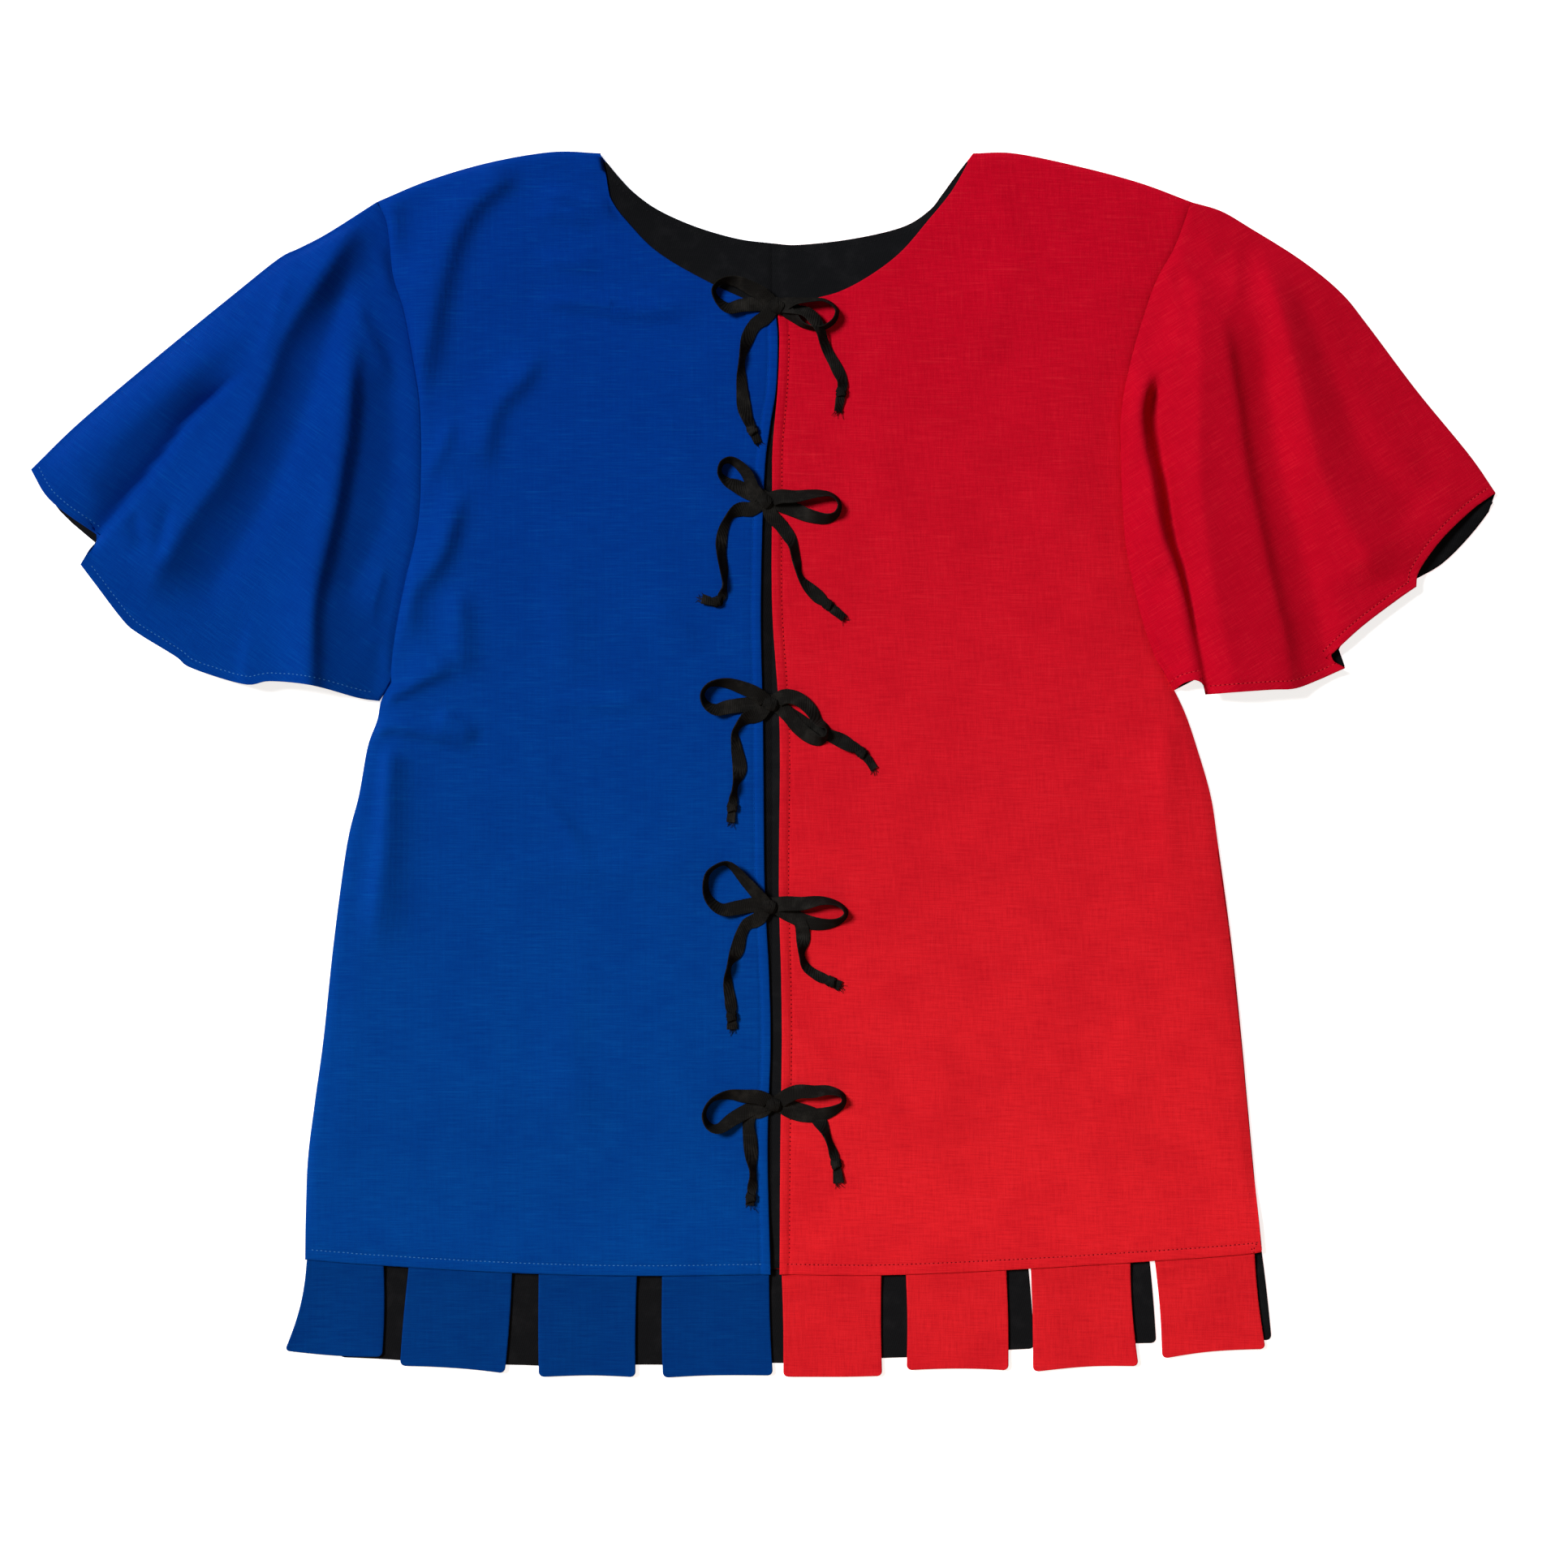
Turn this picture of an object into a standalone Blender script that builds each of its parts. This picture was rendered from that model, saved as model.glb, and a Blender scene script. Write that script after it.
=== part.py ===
"""A medieval surcoat of linen, half blue and half red, lying flat on its back.

Two front panels, tied down the middle with five tape bows, lie on two back
panels and their black lining. The bell sleeves are flattened tubes. Dags hang
from the front hem and from the back hem.

All sizes are millimetres. +X is the length from sleeve to sleeve, +Y runs from
the hem to the neck, and the underside lies on Z = 0.
"""

import math
from collections import namedtuple

import bmesh
import bpy
import numpy as np
from mathutils import Vector
from mathutils.bvhtree import BVHTree

METRE = 0.001

# Layers, from the surface up
CLOTH = 1.2
LINING = 1.2
DAG = 1.5
CLEAR = 0.3
LINING_Z = CLOTH + CLEAR
FRONT_UNDER = LINING_Z + LINING + CLEAR
FRONT_TOP = FRONT_UNDER + CLOTH
SEAM_TOP = CLOTH + CLEAR + CLOTH
HEM_TOP = FRONT_UNDER + DAG + CLEAR + CLOTH

# Sewing
SEAM = 0.3
SIDE_COLUMN = 9.0
HEM_ROW = 12.0
HEM_FADE = 34.0
DAG_TUCK = 7.0
BACK_HEM_UP = 3.0
CENTRE_BACK_X = 6.0
LINING_IN = 12.0
LINING_IN_SHOULDER = 6.0
LINING_IN_SLEEVE = 6.0
LINING_IN_HEM = 1.0
DAG_CORNER = 3.5
DAG_CORNER_IN = 0.3
DAG_LOW = DAG + 2 * CLEAR
DAG_SEWN = 0.02
DAG_DOWN = 0.22
DAG_MIDDLE = 0.60

# How finely the cloth is divided
ARMHOLE_PIECES = 24
ARMHOLE_CROWDING = 1.35
SIDE_PIECES = 11
SHOULDER_PIECES = 6
NECK_PIECES = 8
SLEEVE_LENGTH_PIECES = 15
BACK_HEM_PIECES = 12
DAG_TOP_PIECES = 4

# How high the cloth stands off what it lies on, and the shares of its width and
# length over which it rises to that
PUFF_FROM_SIDE = 0.08
PUFF_FROM_CENTRE = 0.30
PUFF_FROM_SHOULDER = 0.12
PUFF_FROM_HEM = 0.15
SLEEVE_LOFT = 14.0
SLEEVE_RISE = 0.35
SLEEVE_ROUNDNESS = 0.75
NOTCH_REACH = 0.25

# A fold is narrower where it starts, and cloth this little above its bed lies down on it
FOLD_START_WIDTH = 0.55
SETTLE = 0.7
SETTLED_EDGE = 0.8

# Limits of the geometry: the steepest slope that keeps its full thickness, and the
# smallest turn that counts as a corner
LEAST_LEVEL = 0.6
LEAST_TURN = 0.12

# Outlines: rows of x, y

SHOULDER_BLUE = ((-262, 381), (-226, 396), (-185, 408), (-143, 415), (-111, 414))
SHOULDER_RED = ((290, 381), (255, 394), (214, 405), (170, 414), (142, 414))

NECK_FRONT_BLUE = ((-111, 414), (-105, 385), (-90, 364), (-70, 345), (-35, 325), (7, 306))
NECK_FRONT_RED = ((142, 414), (128, 389), (112, 369), (93, 347), (72, 331), (51, 320), (29, 314), (9.5, 306))
NECK_BACK_BLUE = ((-111, 414), (-97, 397), (-86, 386), (-70, 375), (-45, 364), (-17, 356), (6, 353))
NECK_BACK_RED = ((142, 414), (129, 397), (121, 386), (112, 375), (94, 364), (60, 356), (24, 352), (6, 353))

CENTRE_BLUE = ((7, 306), (9, 288), (8, 255), (4, 227), (0, 194), (-2, 106), (0, 23),
               (1, -81), (4, -142), (5, -191), (3, -260), (5, -345))
CENTRE_RED = ((9.5, 306), (10, 288), (9.5, 255), (6.5, 215), (6, 183), (6, 106), (11, 23),
              (10.5, -81), (12, -142), (12.5, -191), (11.5, -260), (11, -345))

HEM_BLUE = ((-310, -335), (-258, -339), (-170, -344), (-86, -346), (5, -345))
HEM_RED = ((337, -327), (330, -331), (249, -337), (165, -342), (81, -345.5), (11, -345))

ARMHOLE_BLUE = ((-262, 381), (-255, 366), (-251, 331), (-244, 309), (-238, 278), (-233, 245),
                (-232, 205), (-234, 163), (-243, 122), (-250, 84), (-253, 55))
ARMHOLE_RED = ((290, 381), (279, 351), (266, 327), (255, 295), (248, 269), (243, 243),
               (242, 216), (245, 154), (254, 108), (264, 76), (271, 63))

SIDE_BLUE = ((-253, 55), (-257, 43), (-260, 30), (-268, 12), (-274, -21), (-282, -54), (-291, -120),
             (-298, -186), (-304, -230), (-309, -274), (-310, -335))
SIDE_RED = ((271, 63), (275, 50), (285, 34), (293, 12), (303, -21), (308, -54), (317, -120),
            (324, -186), (328, -230), (332, -274), (337, -327))

# The sleeve's fold over the arm, its short underarm seam, and its hem in stretches
# that meet at corners. A stretch's first column is how many pieces it is cut in.

OVERARM_BLUE = ((-262, 381), (-295, 360), (-314, 350), (-328, 343), (-357, 320), (-411, 276),
                (-463, 232), (-496, 200))
OVERARM_RED = ((290, 381), (310, 375), (329, 364), (364, 342), (391, 320), (409, 298), (442, 254),
               (478, 210), (496, 184))
UNDERARM_BLUE = ((-253, 55), (-256, 49), (-260, 43))
UNDERARM_RED = ((271, 63), (274.5, 56), (278, 50))

Stretch = namedtuple("Stretch", "pieces route")

HEM_FRONT_BLUE = (
    Stretch(4, ((-496, 200), (-481, 178), (-449, 154))),
    Stretch(1, ((-449, 154), (-461, 135))),
    Stretch(19, ((-461, 135), (-452, 123), (-433, 98), (-423, 89), (-397, 73), (-386, 65),
                 (-350, 54), (-332, 56), (-303, 53), (-274, 45), (-260, 43))),
)
HEM_BACK_BLUE = (
    Stretch(2, ((-496, 200), (-480, 176), (-470, 165), (-451, 149))),
    Stretch(10, ((-451, 149), (-442, 130), (-424, 100), (-395, 78), (-352, 59), (-303, 57),
                (-275, 49), (-260, 43))),
)
HEM_FRONT_RED = (
    Stretch(6, ((496, 184), (479, 172), (458, 152), (443, 131), (441, 120))),
    Stretch(5, ((441, 120), (428, 111), (403, 92), (382, 74))),
    Stretch(1, ((382, 74), (393, 65))),
    Stretch(8, ((393, 65), (375, 57), (358, 51), (340, 50), (298, 47))),
    Stretch(1, ((298, 47), (296, 58))),
    Stretch(3, ((296, 58), (284, 55), (278, 50))),
)
HEM_BACK_RED = (
    Stretch(4, ((496, 184), (494, 175), (479, 155), (460, 136), (441, 125))),
    Stretch(2, ((441, 125), (424, 112), (398, 91), (388, 81))),
    Stretch(1, ((388, 81), (393, 67))),
    Stretch(4, ((393, 67), (374, 60), (341, 53), (303, 51))),
    Stretch(1, ((303, 51), (278, 50))),
)

# Folds of the front layer: how high each rises, or dips where that is negative, how far
# it reaches to the left and to the right of its route, and the shares of the route over
# which it fades.

Fold = namedtuple("Fold", "height left right start end route")

SLEEVE_FOLDS = (
    # The blue sleeve: its long trough, the fold by its corner and the deep crease by its seam
    Fold(-13.0, 16, 22, 0.15, 0.20, ((-267, 360), (-287, 320), (-307, 264), (-332, 206), (-367, 153), (-401, 99))),
    Fold(-11.0, 8, 22, 0.35, 0.00, ((-337, 270), (-376, 237), (-394, 215), (-423, 184), (-447, 153), (-466, 132))),
    Fold(3.0, 20, 9, 0.35, 0.00, ((-334, 258), (-368, 226), (-388, 202), (-415, 170), (-440, 138))),
    Fold(-12.0, 26, 12, 0.18, 0.00, ((-276, 309), (-280, 229), (-287, 184), (-294, 106), (-304, 45))),
    Fold(3.0, 14, 18, 0.30, 0.10, ((-296, 290), (-300, 229), (-309, 180), (-314, 120), (-320, 55))),
    Fold(3.0, 9, 9, 0.30, 0.30, ((-245, 173), (-262, 145), (-278, 117), (-289, 88))),
    # The red sleeve: its crease and its two broad troughs
    Fold(-7.0, 8, 14, 0.25, 0.00, ((274, 269), (271, 234), (277, 183), (286, 136), (294, 72), (296, 40))),
    Fold(2.0, 16, 8, 0.25, 0.00, ((288, 262), (287, 228), (294, 176), (304, 110), (308, 50))),
    Fold(-6.5, 15, 24, 0.25, 0.10, ((323, 293), (329, 264), (345, 183), (364, 114), (376, 82))),
    Fold(-5.5, 16, 24, 0.25, 0.15, ((366, 310), (379, 279), (404, 225), (428, 166), (438, 138))),
)
PANEL_FOLDS = (
    # The blue front, creased beside its armhole and below it
    Fold(-4.0, 10, 14, 0.25, 0.30, ((-180, 377), (-202, 355), (-217, 322), (-223, 290), (-227, 251))),
    Fold(-4.0, 9, 12, 0.35, 0.35, ((-144, 284), (-159, 251), (-177, 225), (-186, 200))),
    Fold(-5.0, 9, 11, 0.30, 0.25, ((-186, 180), (-206, 145), (-217, 132), (-233, 116), (-238, 98))),
    Fold(-4.0, 10, 10, 0.35, 0.30, ((-209, 125), (-200, 96), (-201, 66))),
    Fold(-4.0, 8, 8, 0.15, 0.30, ((-256, 35), (-241, 48), (-222, 58), (-204, 65))),
    Fold(-4.0, 8, 9, 0.15, 0.35, ((-262, 27), (-238, 19), (-213, 16), (-192, 16))),
    Fold(-4.0, 12, 14, 0.30, 0.40, ((-247, 0), (-254, -33), (-257, -80), (-254, -140))),
    Fold(1.5, 10, 10, 0.30, 0.30, ((-225, 98), (-222, 80), (-212, 48))),
    # The red front, nearly flat
    Fold(-2.0, 12, 12, 0.30, 0.40, ((270, 40), (255, 0), (262, -60), (270, -130))),
)

# Front dags: where each meets the hem and where its lower corners are

Dag = namedtuple("Dag", "top_left top_right low_left low_right")

FRONT_DAGS_BLUE = (
    Dag((-309, -335), (-257, -338), (-324, -397), (-258, -401)),
    Dag((-240, -340), (-170, -344), (-246, -407), (-175, -412)),
    Dag((-152, -345), (-85.5, -346), (-152, -414.5), (-86.5, -414.5)),
    Dag((-68.5, -346), (4, -345), (-68, -415), (6.5, -413.5)),
)
FRONT_DAGS_RED = (
    Dag((12.5, -346), (80, -345), (13.5, -414.5), (80.5, -414)),
    Dag((96.5, -344), (164.5, -342), (97, -410), (166, -410)),
    Dag((182.5, -341), (248.5, -337), (184, -411), (254, -407)),
    Dag((265, -336), (332.5, -331), (270, -402), (340, -395.5)),
)

# Back dags hang at one pitch, and fan out a little towards the sides
BACK_DAGS = 8
BACK_DAG_WIDTH = 69.0
BACK_DAG_PITCH_TOP = 78.8
BACK_DAG_PITCH_LOW = 80.4
BACK_DAG_FIRST_TOP = 337.0
BACK_DAG_FIRST_LOW = 344.5
BACK_DAGS_BLUE_FROM = 5
BACK_HEM_LOW = ((-324, -399), (-250, -404), (-170, -408), (-85, -407), (10, -406), (95, -402),
                (180, -396), (265, -392), (345, -390))

# Ties: tape bows. Rows of dx and dy from the knot, the tape's lift off the
# cloth, and its roll in degrees.

TAPE = 10.0
TAPE_THICK = 1.0
KNOT_CORE = 0.75
KNOT = (8.0, 7.0, 3.4)
END_KNOT = (7.0, 4.6)
END_KNOT_LENGTH = 9.0
END_KNOT_ROOM = 5.9
LOOP_STEPS = 17
TAIL_STEPS = 14

Bow = namedtuple("Bow", "x y left_loop right_loop left_tail right_tail left_knot right_knot")

BOWS = (
    Bow(9.5, 309.5,
        ((-10, 8, 4.0, 12), (-17, 12, 3.6, 20), (-28, 17, 2.0, 40), (-38, 17, 0.6, 60), (-43, 11, 0.5, 62),
         (-40, 4, 0.5, 50), (-33, -1, 0.5, 30), (-24, 1, 0.5, 15), (-13, 2, 0.5, 5)),
        ((10.5, 4, 4.0, 8), (20, 4, 3.4, 20), (32, 3, 1.6, 45), (39, -3, 0.5, 60), (36, -10, 0.5, 28),
         (28, -14, 0.5, 6), (19, -13, 0.5, 5), (12, -8, 0.5, 5)),
        ((-8, -7, 0.5, 5), (-15, -12, 0.5, 10), (-20, -21, 0.5, 35), (-24, -37, 0.5, 30), (-24, -54, 0.5, 15),
         (-22, -70, 0.5, 25), (-18, -81, 0.5, 20), (-13, -92, 0.5, 5)),
        ((12, -2, 2.6, 0), (21, -5, 5.0, 0), (28, -14, 5.4, 0), (33, -28, 1.2, 20), (40, -41, 0.5, 30),
         (44, -51, 0.5, 50), (43, -59, 0.5, 20), (41, -71, 0.5, 5)),
        0.90, 0.84),
    Bow(1.5, 178,
        ((-8, 8, 0.5, 25), (-13, 19, 0.5, 35), (-22, 27, 0.5, 50), (-29, 26, 0.5, 62), (-31, 19, 0.5, 60),
         (-26, 13, 0.5, 40), (-19, 10, 0.5, 15), (-11.5, 6, 0.5, 0)),
        ((10, 3, 3.8, 10), (20, 3, 3.0, 25), (35, 5, 1.0, 45), (45, 4, 0.5, 60), (50, -2, 0.5, 62),
         (48, -9, 0.5, 55), (41, -12, 0.5, 40), (30, -10, 0.5, 25), (20, -6, 0.5, 5), (12, -3, 0.5, 0)),
        ((-9, -5, 0.5, 0), (-17, -5.5, 0.5, 5), (-24, -10, 0.5, 25), (-29, -21, 0.5, 30), (-30, -34, 0.5, 55),
         (-28, -48, 0.5, 30), (-28, -60, 0.5, 40), (-33, -68, 0.5, 5), (-43, -66, 0.5, 0)),
        ((4, -9.5, 0.5, 10), (11, -17, 0.5, 15), (18, -28, 0.5, 40), (21, -41, 0.5, 20), (24, -52, 0.5, 45),
         (33, -62, 0.5, 20), (42, -70, 0.5, 10), (53, -79, 0.5, 5)),
        0.88, 0.84),
    Bow(5, 41,
        ((-9, 6, 3.8, 10), (-17, 10, 3.0, 20), (-30, 14, 1.0, 40), (-41, 13, 0.5, 60), (-46, 7, 0.5, 62),
         (-44, 0, 0.5, 50), (-37, -4, 0.5, 30), (-28, -2, 0.5, 12), (-12, 0, 0.5, 0)),
        ((9.5, 5, 3.6, 5), (19, 3, 3.0, 15), (27, -4, 1.6, 25), (32, -12, 0.6, 40), (38, -16, 0.5, 60),
         (38, -22, 0.5, 60), (33, -25, 0.5, 40), (26, -22, 0.5, 20), (18, -15, 0.5, 5), (11.5, -7, 0.5, 0)),
        ((-8, -7, 0.5, 5), (-17, -10, 0.5, 20), (-24, -19, 0.5, 35), (-23, -30, 0.5, 30), (-21, -44, 0.5, 20),
         (-24, -56, 0.5, 35), (-26, -70, 0.5, 15), (-27, -80, 0.5, 5)),
        ((46, -24, 0.5, 10), (53, -28, 0.5, 15), (59, -31, 0.5, 10), (66, -38, 0.5, 5), (70, -44, 0.5, 0)),
        0.88, 0.55),
    Bow(4, -96,
        ((-8, 8, 0.5, 25), (-16, 17, 0.5, 35), (-25, 27, 0.5, 50), (-32, 29, 0.5, 62), (-41, 23, 0.5, 60),
         (-43, 13, 0.5, 55), (-40, 4, 0.5, 45), (-32, -2, 0.5, 30), (-22, -1, 0.5, 12), (-11, 1, 0.5, 0)),
        ((10.5, 2, 3.8, 5), (22, 2, 3.0, 20), (35, 4, 1.0, 45), (46, 2, 0.5, 60), (52, -4, 0.5, 60),
         (47, -10, 0.5, 50), (36, -12, 0.5, 30), (24, -10, 0.5, 10), (12.5, -5, 0.5, 0)),
        ((-7, -8, 0.5, 5), (-15, -12, 0.5, 20), (-19, -19, 0.5, 35), (-22, -30, 0.5, 25), (-27, -40, 0.5, 40),
         (-28, -52, 0.5, 20), (-26, -66, 0.5, 35), (-25, -83, 0.5, 5)),
        ((23, -20, 0.5, 15), (22, -32, 0.5, 35), (25, -41, 0.5, 20), (33, -47, 0.5, 30), (40, -50, 0.5, 15),
         (48, -54, 0.5, 5)),
        0.90, 0.86),
    Bow(7, -230,
        ((-9, 5, 3.8, 8), (-20, 6, 3.0, 20), (-31, 7, 1.4, 40), (-42, 3, 0.5, 60), (-47, -6, 0.5, 62),
         (-44, -14, 0.5, 55), (-37, -16, 0.5, 40), (-28, -10, 0.5, 20), (-19, -5, 0.5, 5), (-12, -2, 0.5, 0)),
        ((9, 6, 3.8, 5), (17, 9, 3.0, 15), (27, 9, 2.0, 30), (37, 10, 0.8, 45), (46, 7, 0.5, 60),
         (47, 1, 0.5, 55), (40, -4, 0.5, 35), (30, -7, 0.5, 15), (20, -7, 0.5, 5), (11.5, -4.5, 0.5, 0)),
        ((-17, -14, 0.5, 10), (-16, -24, 0.5, 25), (-15, -36, 0.5, 15), (-14, -49, 0.5, 30), (-16, -68, 0.5, 5)),
        ((33, -14, 0.5, 25), (38, -26, 0.5, 30), (41, -35, 0.5, 20), (43, -44, 0.5, 20), (44, -53, 0.5, 5)),
        0.90, 0.52),
)

# Finishes: red, green, blue, roughness

BLUE = (0.004, 0.037, 0.262, 0.9)
RED = (0.61, 0.004, 0.02, 0.9)
BLACK = (0.008, 0.008, 0.009, 0.85)
TAPE_BLACK = (0.006, 0.006, 0.006, 0.8)


# Curves in the plane

def smooth_curve(route, steps=12):
    """A dense Catmull-Rom curve through the route's points."""
    points = np.array(route, float)
    if len(points) == 2:
        return points
    ends = (2 * points[0] - points[1], 2 * points[-1] - points[-2])
    p = np.vstack([ends[0], points, ends[1]])
    t = np.linspace(0, 1, steps, endpoint=False)[:, None]
    runs = []
    for a, b, c, d in zip(p, p[1:], p[2:], p[3:]):
        runs.append(0.5 * (2 * b + (c - a) * t + (2 * a - 5 * b + 4 * c - d) * t**2
                           + (3 * b - a - 3 * c + d) * t**3))
    return np.vstack(runs + [points[-1:]])


def lengths_along(curve):
    steps = np.linalg.norm(np.diff(curve[:, :2], axis=0), axis=1)
    return np.concatenate([[0], np.cumsum(steps)])


def at_shares(curve, shares):
    """Points of the curve at the given shares of its length."""
    run = lengths_along(curve)
    return np.column_stack([np.interp(np.asarray(shares) * run[-1], run, column) for column in curve.T])


def shares_of(points):
    run = lengths_along(points)
    return run / run[-1]


def cut_stretches(stretches):
    """The points that divide a hem of several stretches into its pieces."""
    parts = [at_shares(smooth_curve(s.route), np.linspace(0, 1, s.pieces + 1)) for s in stretches]
    return np.vstack([part[:-1] for part in parts] + [parts[-1][-1:]])


def shifted(line, distance):
    """The line moved sideways, to the left of its direction where distance is positive."""
    along = np.gradient(line, axis=0)
    along /= np.linalg.norm(along, axis=1)[:, None]
    return line + distance * np.column_stack([-along[:, 1], along[:, 0]])


def inset(outline, distances):
    """The outline with each edge moved inwards by its own distance. It runs anticlockwise."""
    count = len(outline)
    edge = np.roll(outline, -1, axis=0) - outline
    edge /= np.linalg.norm(edge, axis=1)[:, None]
    inward = np.column_stack([-edge[:, 1], edge[:, 0]])
    moved = []
    for i in range(count):
        a, b = inward[i - 1], inward[i]
        da, db = distances[i - 1], distances[i]
        turn = a[0] * b[1] - a[1] * b[0]
        if abs(turn) < LEAST_TURN:
            moved.append(outline[i] + (a + b) / 2 * (da + db) / 2)
        else:
            moved.append(outline[i] + np.array([da * b[1] - db * a[1], db * a[0] - da * b[0]]) / turn)
    return np.array(moved)


def patch(left, right, top, bottom):
    """A grid of points bounded by four lines: rows run from left to right, and start at the top."""
    u = ((shares_of(top) + shares_of(bottom)) / 2)[None, :, None]
    v = ((shares_of(left) + shares_of(right)) / 2)[:, None, None]
    across = (1 - v) * top[None] + v * bottom[None]
    down = (1 - u) * left[:, None] + u * right[:, None]
    corners = ((1 - u) * (1 - v) * top[0] + u * (1 - v) * top[-1]
               + (1 - u) * v * bottom[0] + u * v * bottom[-1])
    return across + down - corners


# Heights

def smooth_step(x):
    x = np.clip(x, 0, 1)
    return x * x * (3 - 2 * x)


def fold_height(fold, points):
    """How much one fold lifts or lowers the cloth at each of the points."""
    line = smooth_curve(fold.route)
    start, step = line[:-1], np.diff(line, axis=0)
    long = np.linalg.norm(step, axis=1)
    away = points[:, None] - start[None]
    share = np.clip((away * step).sum(2) / long**2, 0, 1)
    miss = away - share[..., None] * step
    distance = np.linalg.norm(miss, axis=2)
    nearest = distance.argmin(1)
    row = np.arange(len(points))
    run = np.concatenate([[0], np.cumsum(long)])
    along = (run[nearest] + share[row, nearest] * long[nearest]) / run[-1]
    near = distance[row, nearest]
    side = miss[row, nearest, 0] * step[nearest, 1] - miss[row, nearest, 1] * step[nearest, 0]
    width = np.where(side > 0, fold.right, fold.left) * (FOLD_START_WIDTH + (1 - FOLD_START_WIDTH) * along)
    fade = smooth_step(along / max(fold.start, 1e-6)) * smooth_step((1 - along) / max(fold.end, 1e-6))
    return fold.height * np.exp(-((near / width) ** 2)) * fade


def front_height(points, loft, folds):
    """Top of the front layer: its loft and folds, never lower than cloth lying flat."""
    shape = points.shape[:-1]
    rise = loft.reshape(-1) + sum(fold_height(fold, points.reshape(-1, 2)) for fold in folds)
    settled = np.logaddexp(0, rise - SETTLE)
    return FRONT_TOP + settled.reshape(shape) * smooth_step(loft / SETTLED_EDGE)


def underside(points, top):
    """The wall's lower face: its thickness is kept on slopes, and it stays above the lining."""
    rows = np.gradient(np.dstack([points, top]), axis=0)
    columns = np.gradient(np.dstack([points, top]), axis=1)
    normal = np.cross(rows, columns)
    level = np.abs(normal[..., 2]) / np.linalg.norm(normal, axis=2)
    return np.maximum(top - CLOTH / np.maximum(level, LEAST_LEVEL), np.minimum(top - CLOTH, FRONT_UNDER))


# Solids

def cloth_material(name, finish):
    material = bpy.data.materials.new(name)
    material.use_nodes = True
    shader = material.node_tree.nodes["Principled BSDF"]
    shader.inputs["Base Color"].default_value = (*finish[:3], 1)
    shader.inputs["Roughness"].default_value = finish[3]
    shader.inputs["Metallic"].default_value = 0
    return material


def add_solid(name, points, faces, finish):
    """Makes the object, with its faces turned outwards."""
    mesh = bpy.data.meshes.new(name)
    mesh.from_pydata([tuple(METRE * c for c in p) for p in np.asarray(points).tolist()], [], faces)
    solid = bmesh.new()
    solid.from_mesh(mesh)
    bmesh.ops.recalc_face_normals(solid, faces=solid.faces)
    if solid.calc_volume(signed=True) < 0:
        bmesh.ops.reverse_faces(solid, faces=solid.faces)
    solid.to_mesh(mesh)
    solid.free()
    mesh.shade_smooth()
    mesh.set_sharp_from_angle(angle=math.radians(50))
    mesh.materials.append(cloth_material(name, finish))
    made = bpy.data.objects.new(name, mesh)
    bpy.context.scene.collection.objects.link(made)
    return made


def flat_solid(name, outline, low, thickness, finish):
    """Cloth cut to the outline and lying flat."""
    count = len(outline)
    points = [(*p, z) for z in (low, low + thickness) for p in outline]
    faces = [list(range(count))[::-1], list(range(count, 2 * count))]
    faces += [(i, (i + 1) % count, count + (i + 1) % count, count + i) for i in range(count)]
    return add_solid(name, points, faces, finish)


def sheet_solid(name, points, top, bottom, finish):
    """Cloth over a grid of points, with its own top and bottom heights."""
    rows, columns = top.shape
    count = rows * columns
    upper = np.dstack([points, top]).reshape(-1, 3)
    lower = np.dstack([points, bottom]).reshape(-1, 3)
    index = np.arange(count).reshape(rows, columns)
    quads = np.stack([index[:-1, :-1], index[:-1, 1:], index[1:, 1:], index[1:, :-1]], axis=2).reshape(-1, 4)
    faces = quads.tolist() + (quads[:, ::-1] + count).tolist()
    rim = np.concatenate([index[0], index[1:, -1], index[-1, -2::-1], index[-2:0:-1, 0]])
    faces += [(a, b, b + count, a + count) for a, b in zip(rim.tolist(), np.roll(rim, -1).tolist())]
    return add_solid(name, np.vstack([upper, lower]), faces, finish)


def tube_solid(name, outer, inner, finish):
    """A wall between an outer and an inner set of rings, open at both ends."""
    rings, around = outer.shape[:2]
    count = rings * around
    faces = []
    for i in range(rings - 1):
        for j in range(around):
            a, b = i * around + j, i * around + (j + 1) % around
            c, d = b + around, a + around
            faces += [(a, b, c, d), (d + count, c + count, b + count, a + count)]
    for i in (0, rings - 1):
        for j in range(around):
            a, b = i * around + j, i * around + (j + 1) % around
            faces.append((a, b, b + count, a + count))
    return add_solid(name, np.vstack([outer.reshape(-1, 3), inner.reshape(-1, 3)]), faces, finish)


# Pieces

Side = namedtuple("Side", "name finish turn shoulder neck_front neck_back centre hem armhole side "
                          "overarm underarm hem_front hem_back front_dags puff")

SIDES = (
    Side("blue", BLUE, 1, SHOULDER_BLUE, NECK_FRONT_BLUE, NECK_BACK_BLUE, CENTRE_BLUE, HEM_BLUE,
         ARMHOLE_BLUE, SIDE_BLUE, OVERARM_BLUE, UNDERARM_BLUE, HEM_FRONT_BLUE, HEM_BACK_BLUE, FRONT_DAGS_BLUE, 5.0),
    Side("red", RED, -1, SHOULDER_RED, NECK_FRONT_RED, NECK_BACK_RED, CENTRE_RED, HEM_RED,
         ARMHOLE_RED, SIDE_RED, OVERARM_RED, UNDERARM_RED, HEM_FRONT_RED, HEM_BACK_RED, FRONT_DAGS_RED, 3.0),
)


def armhole_line(side):
    """The armhole seam, cut closer together towards the shoulder."""
    shares = np.linspace(0, 1, ARMHOLE_PIECES + 1) ** ARMHOLE_CROWDING
    return at_shares(smooth_curve(side.armhole), shares)


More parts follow.
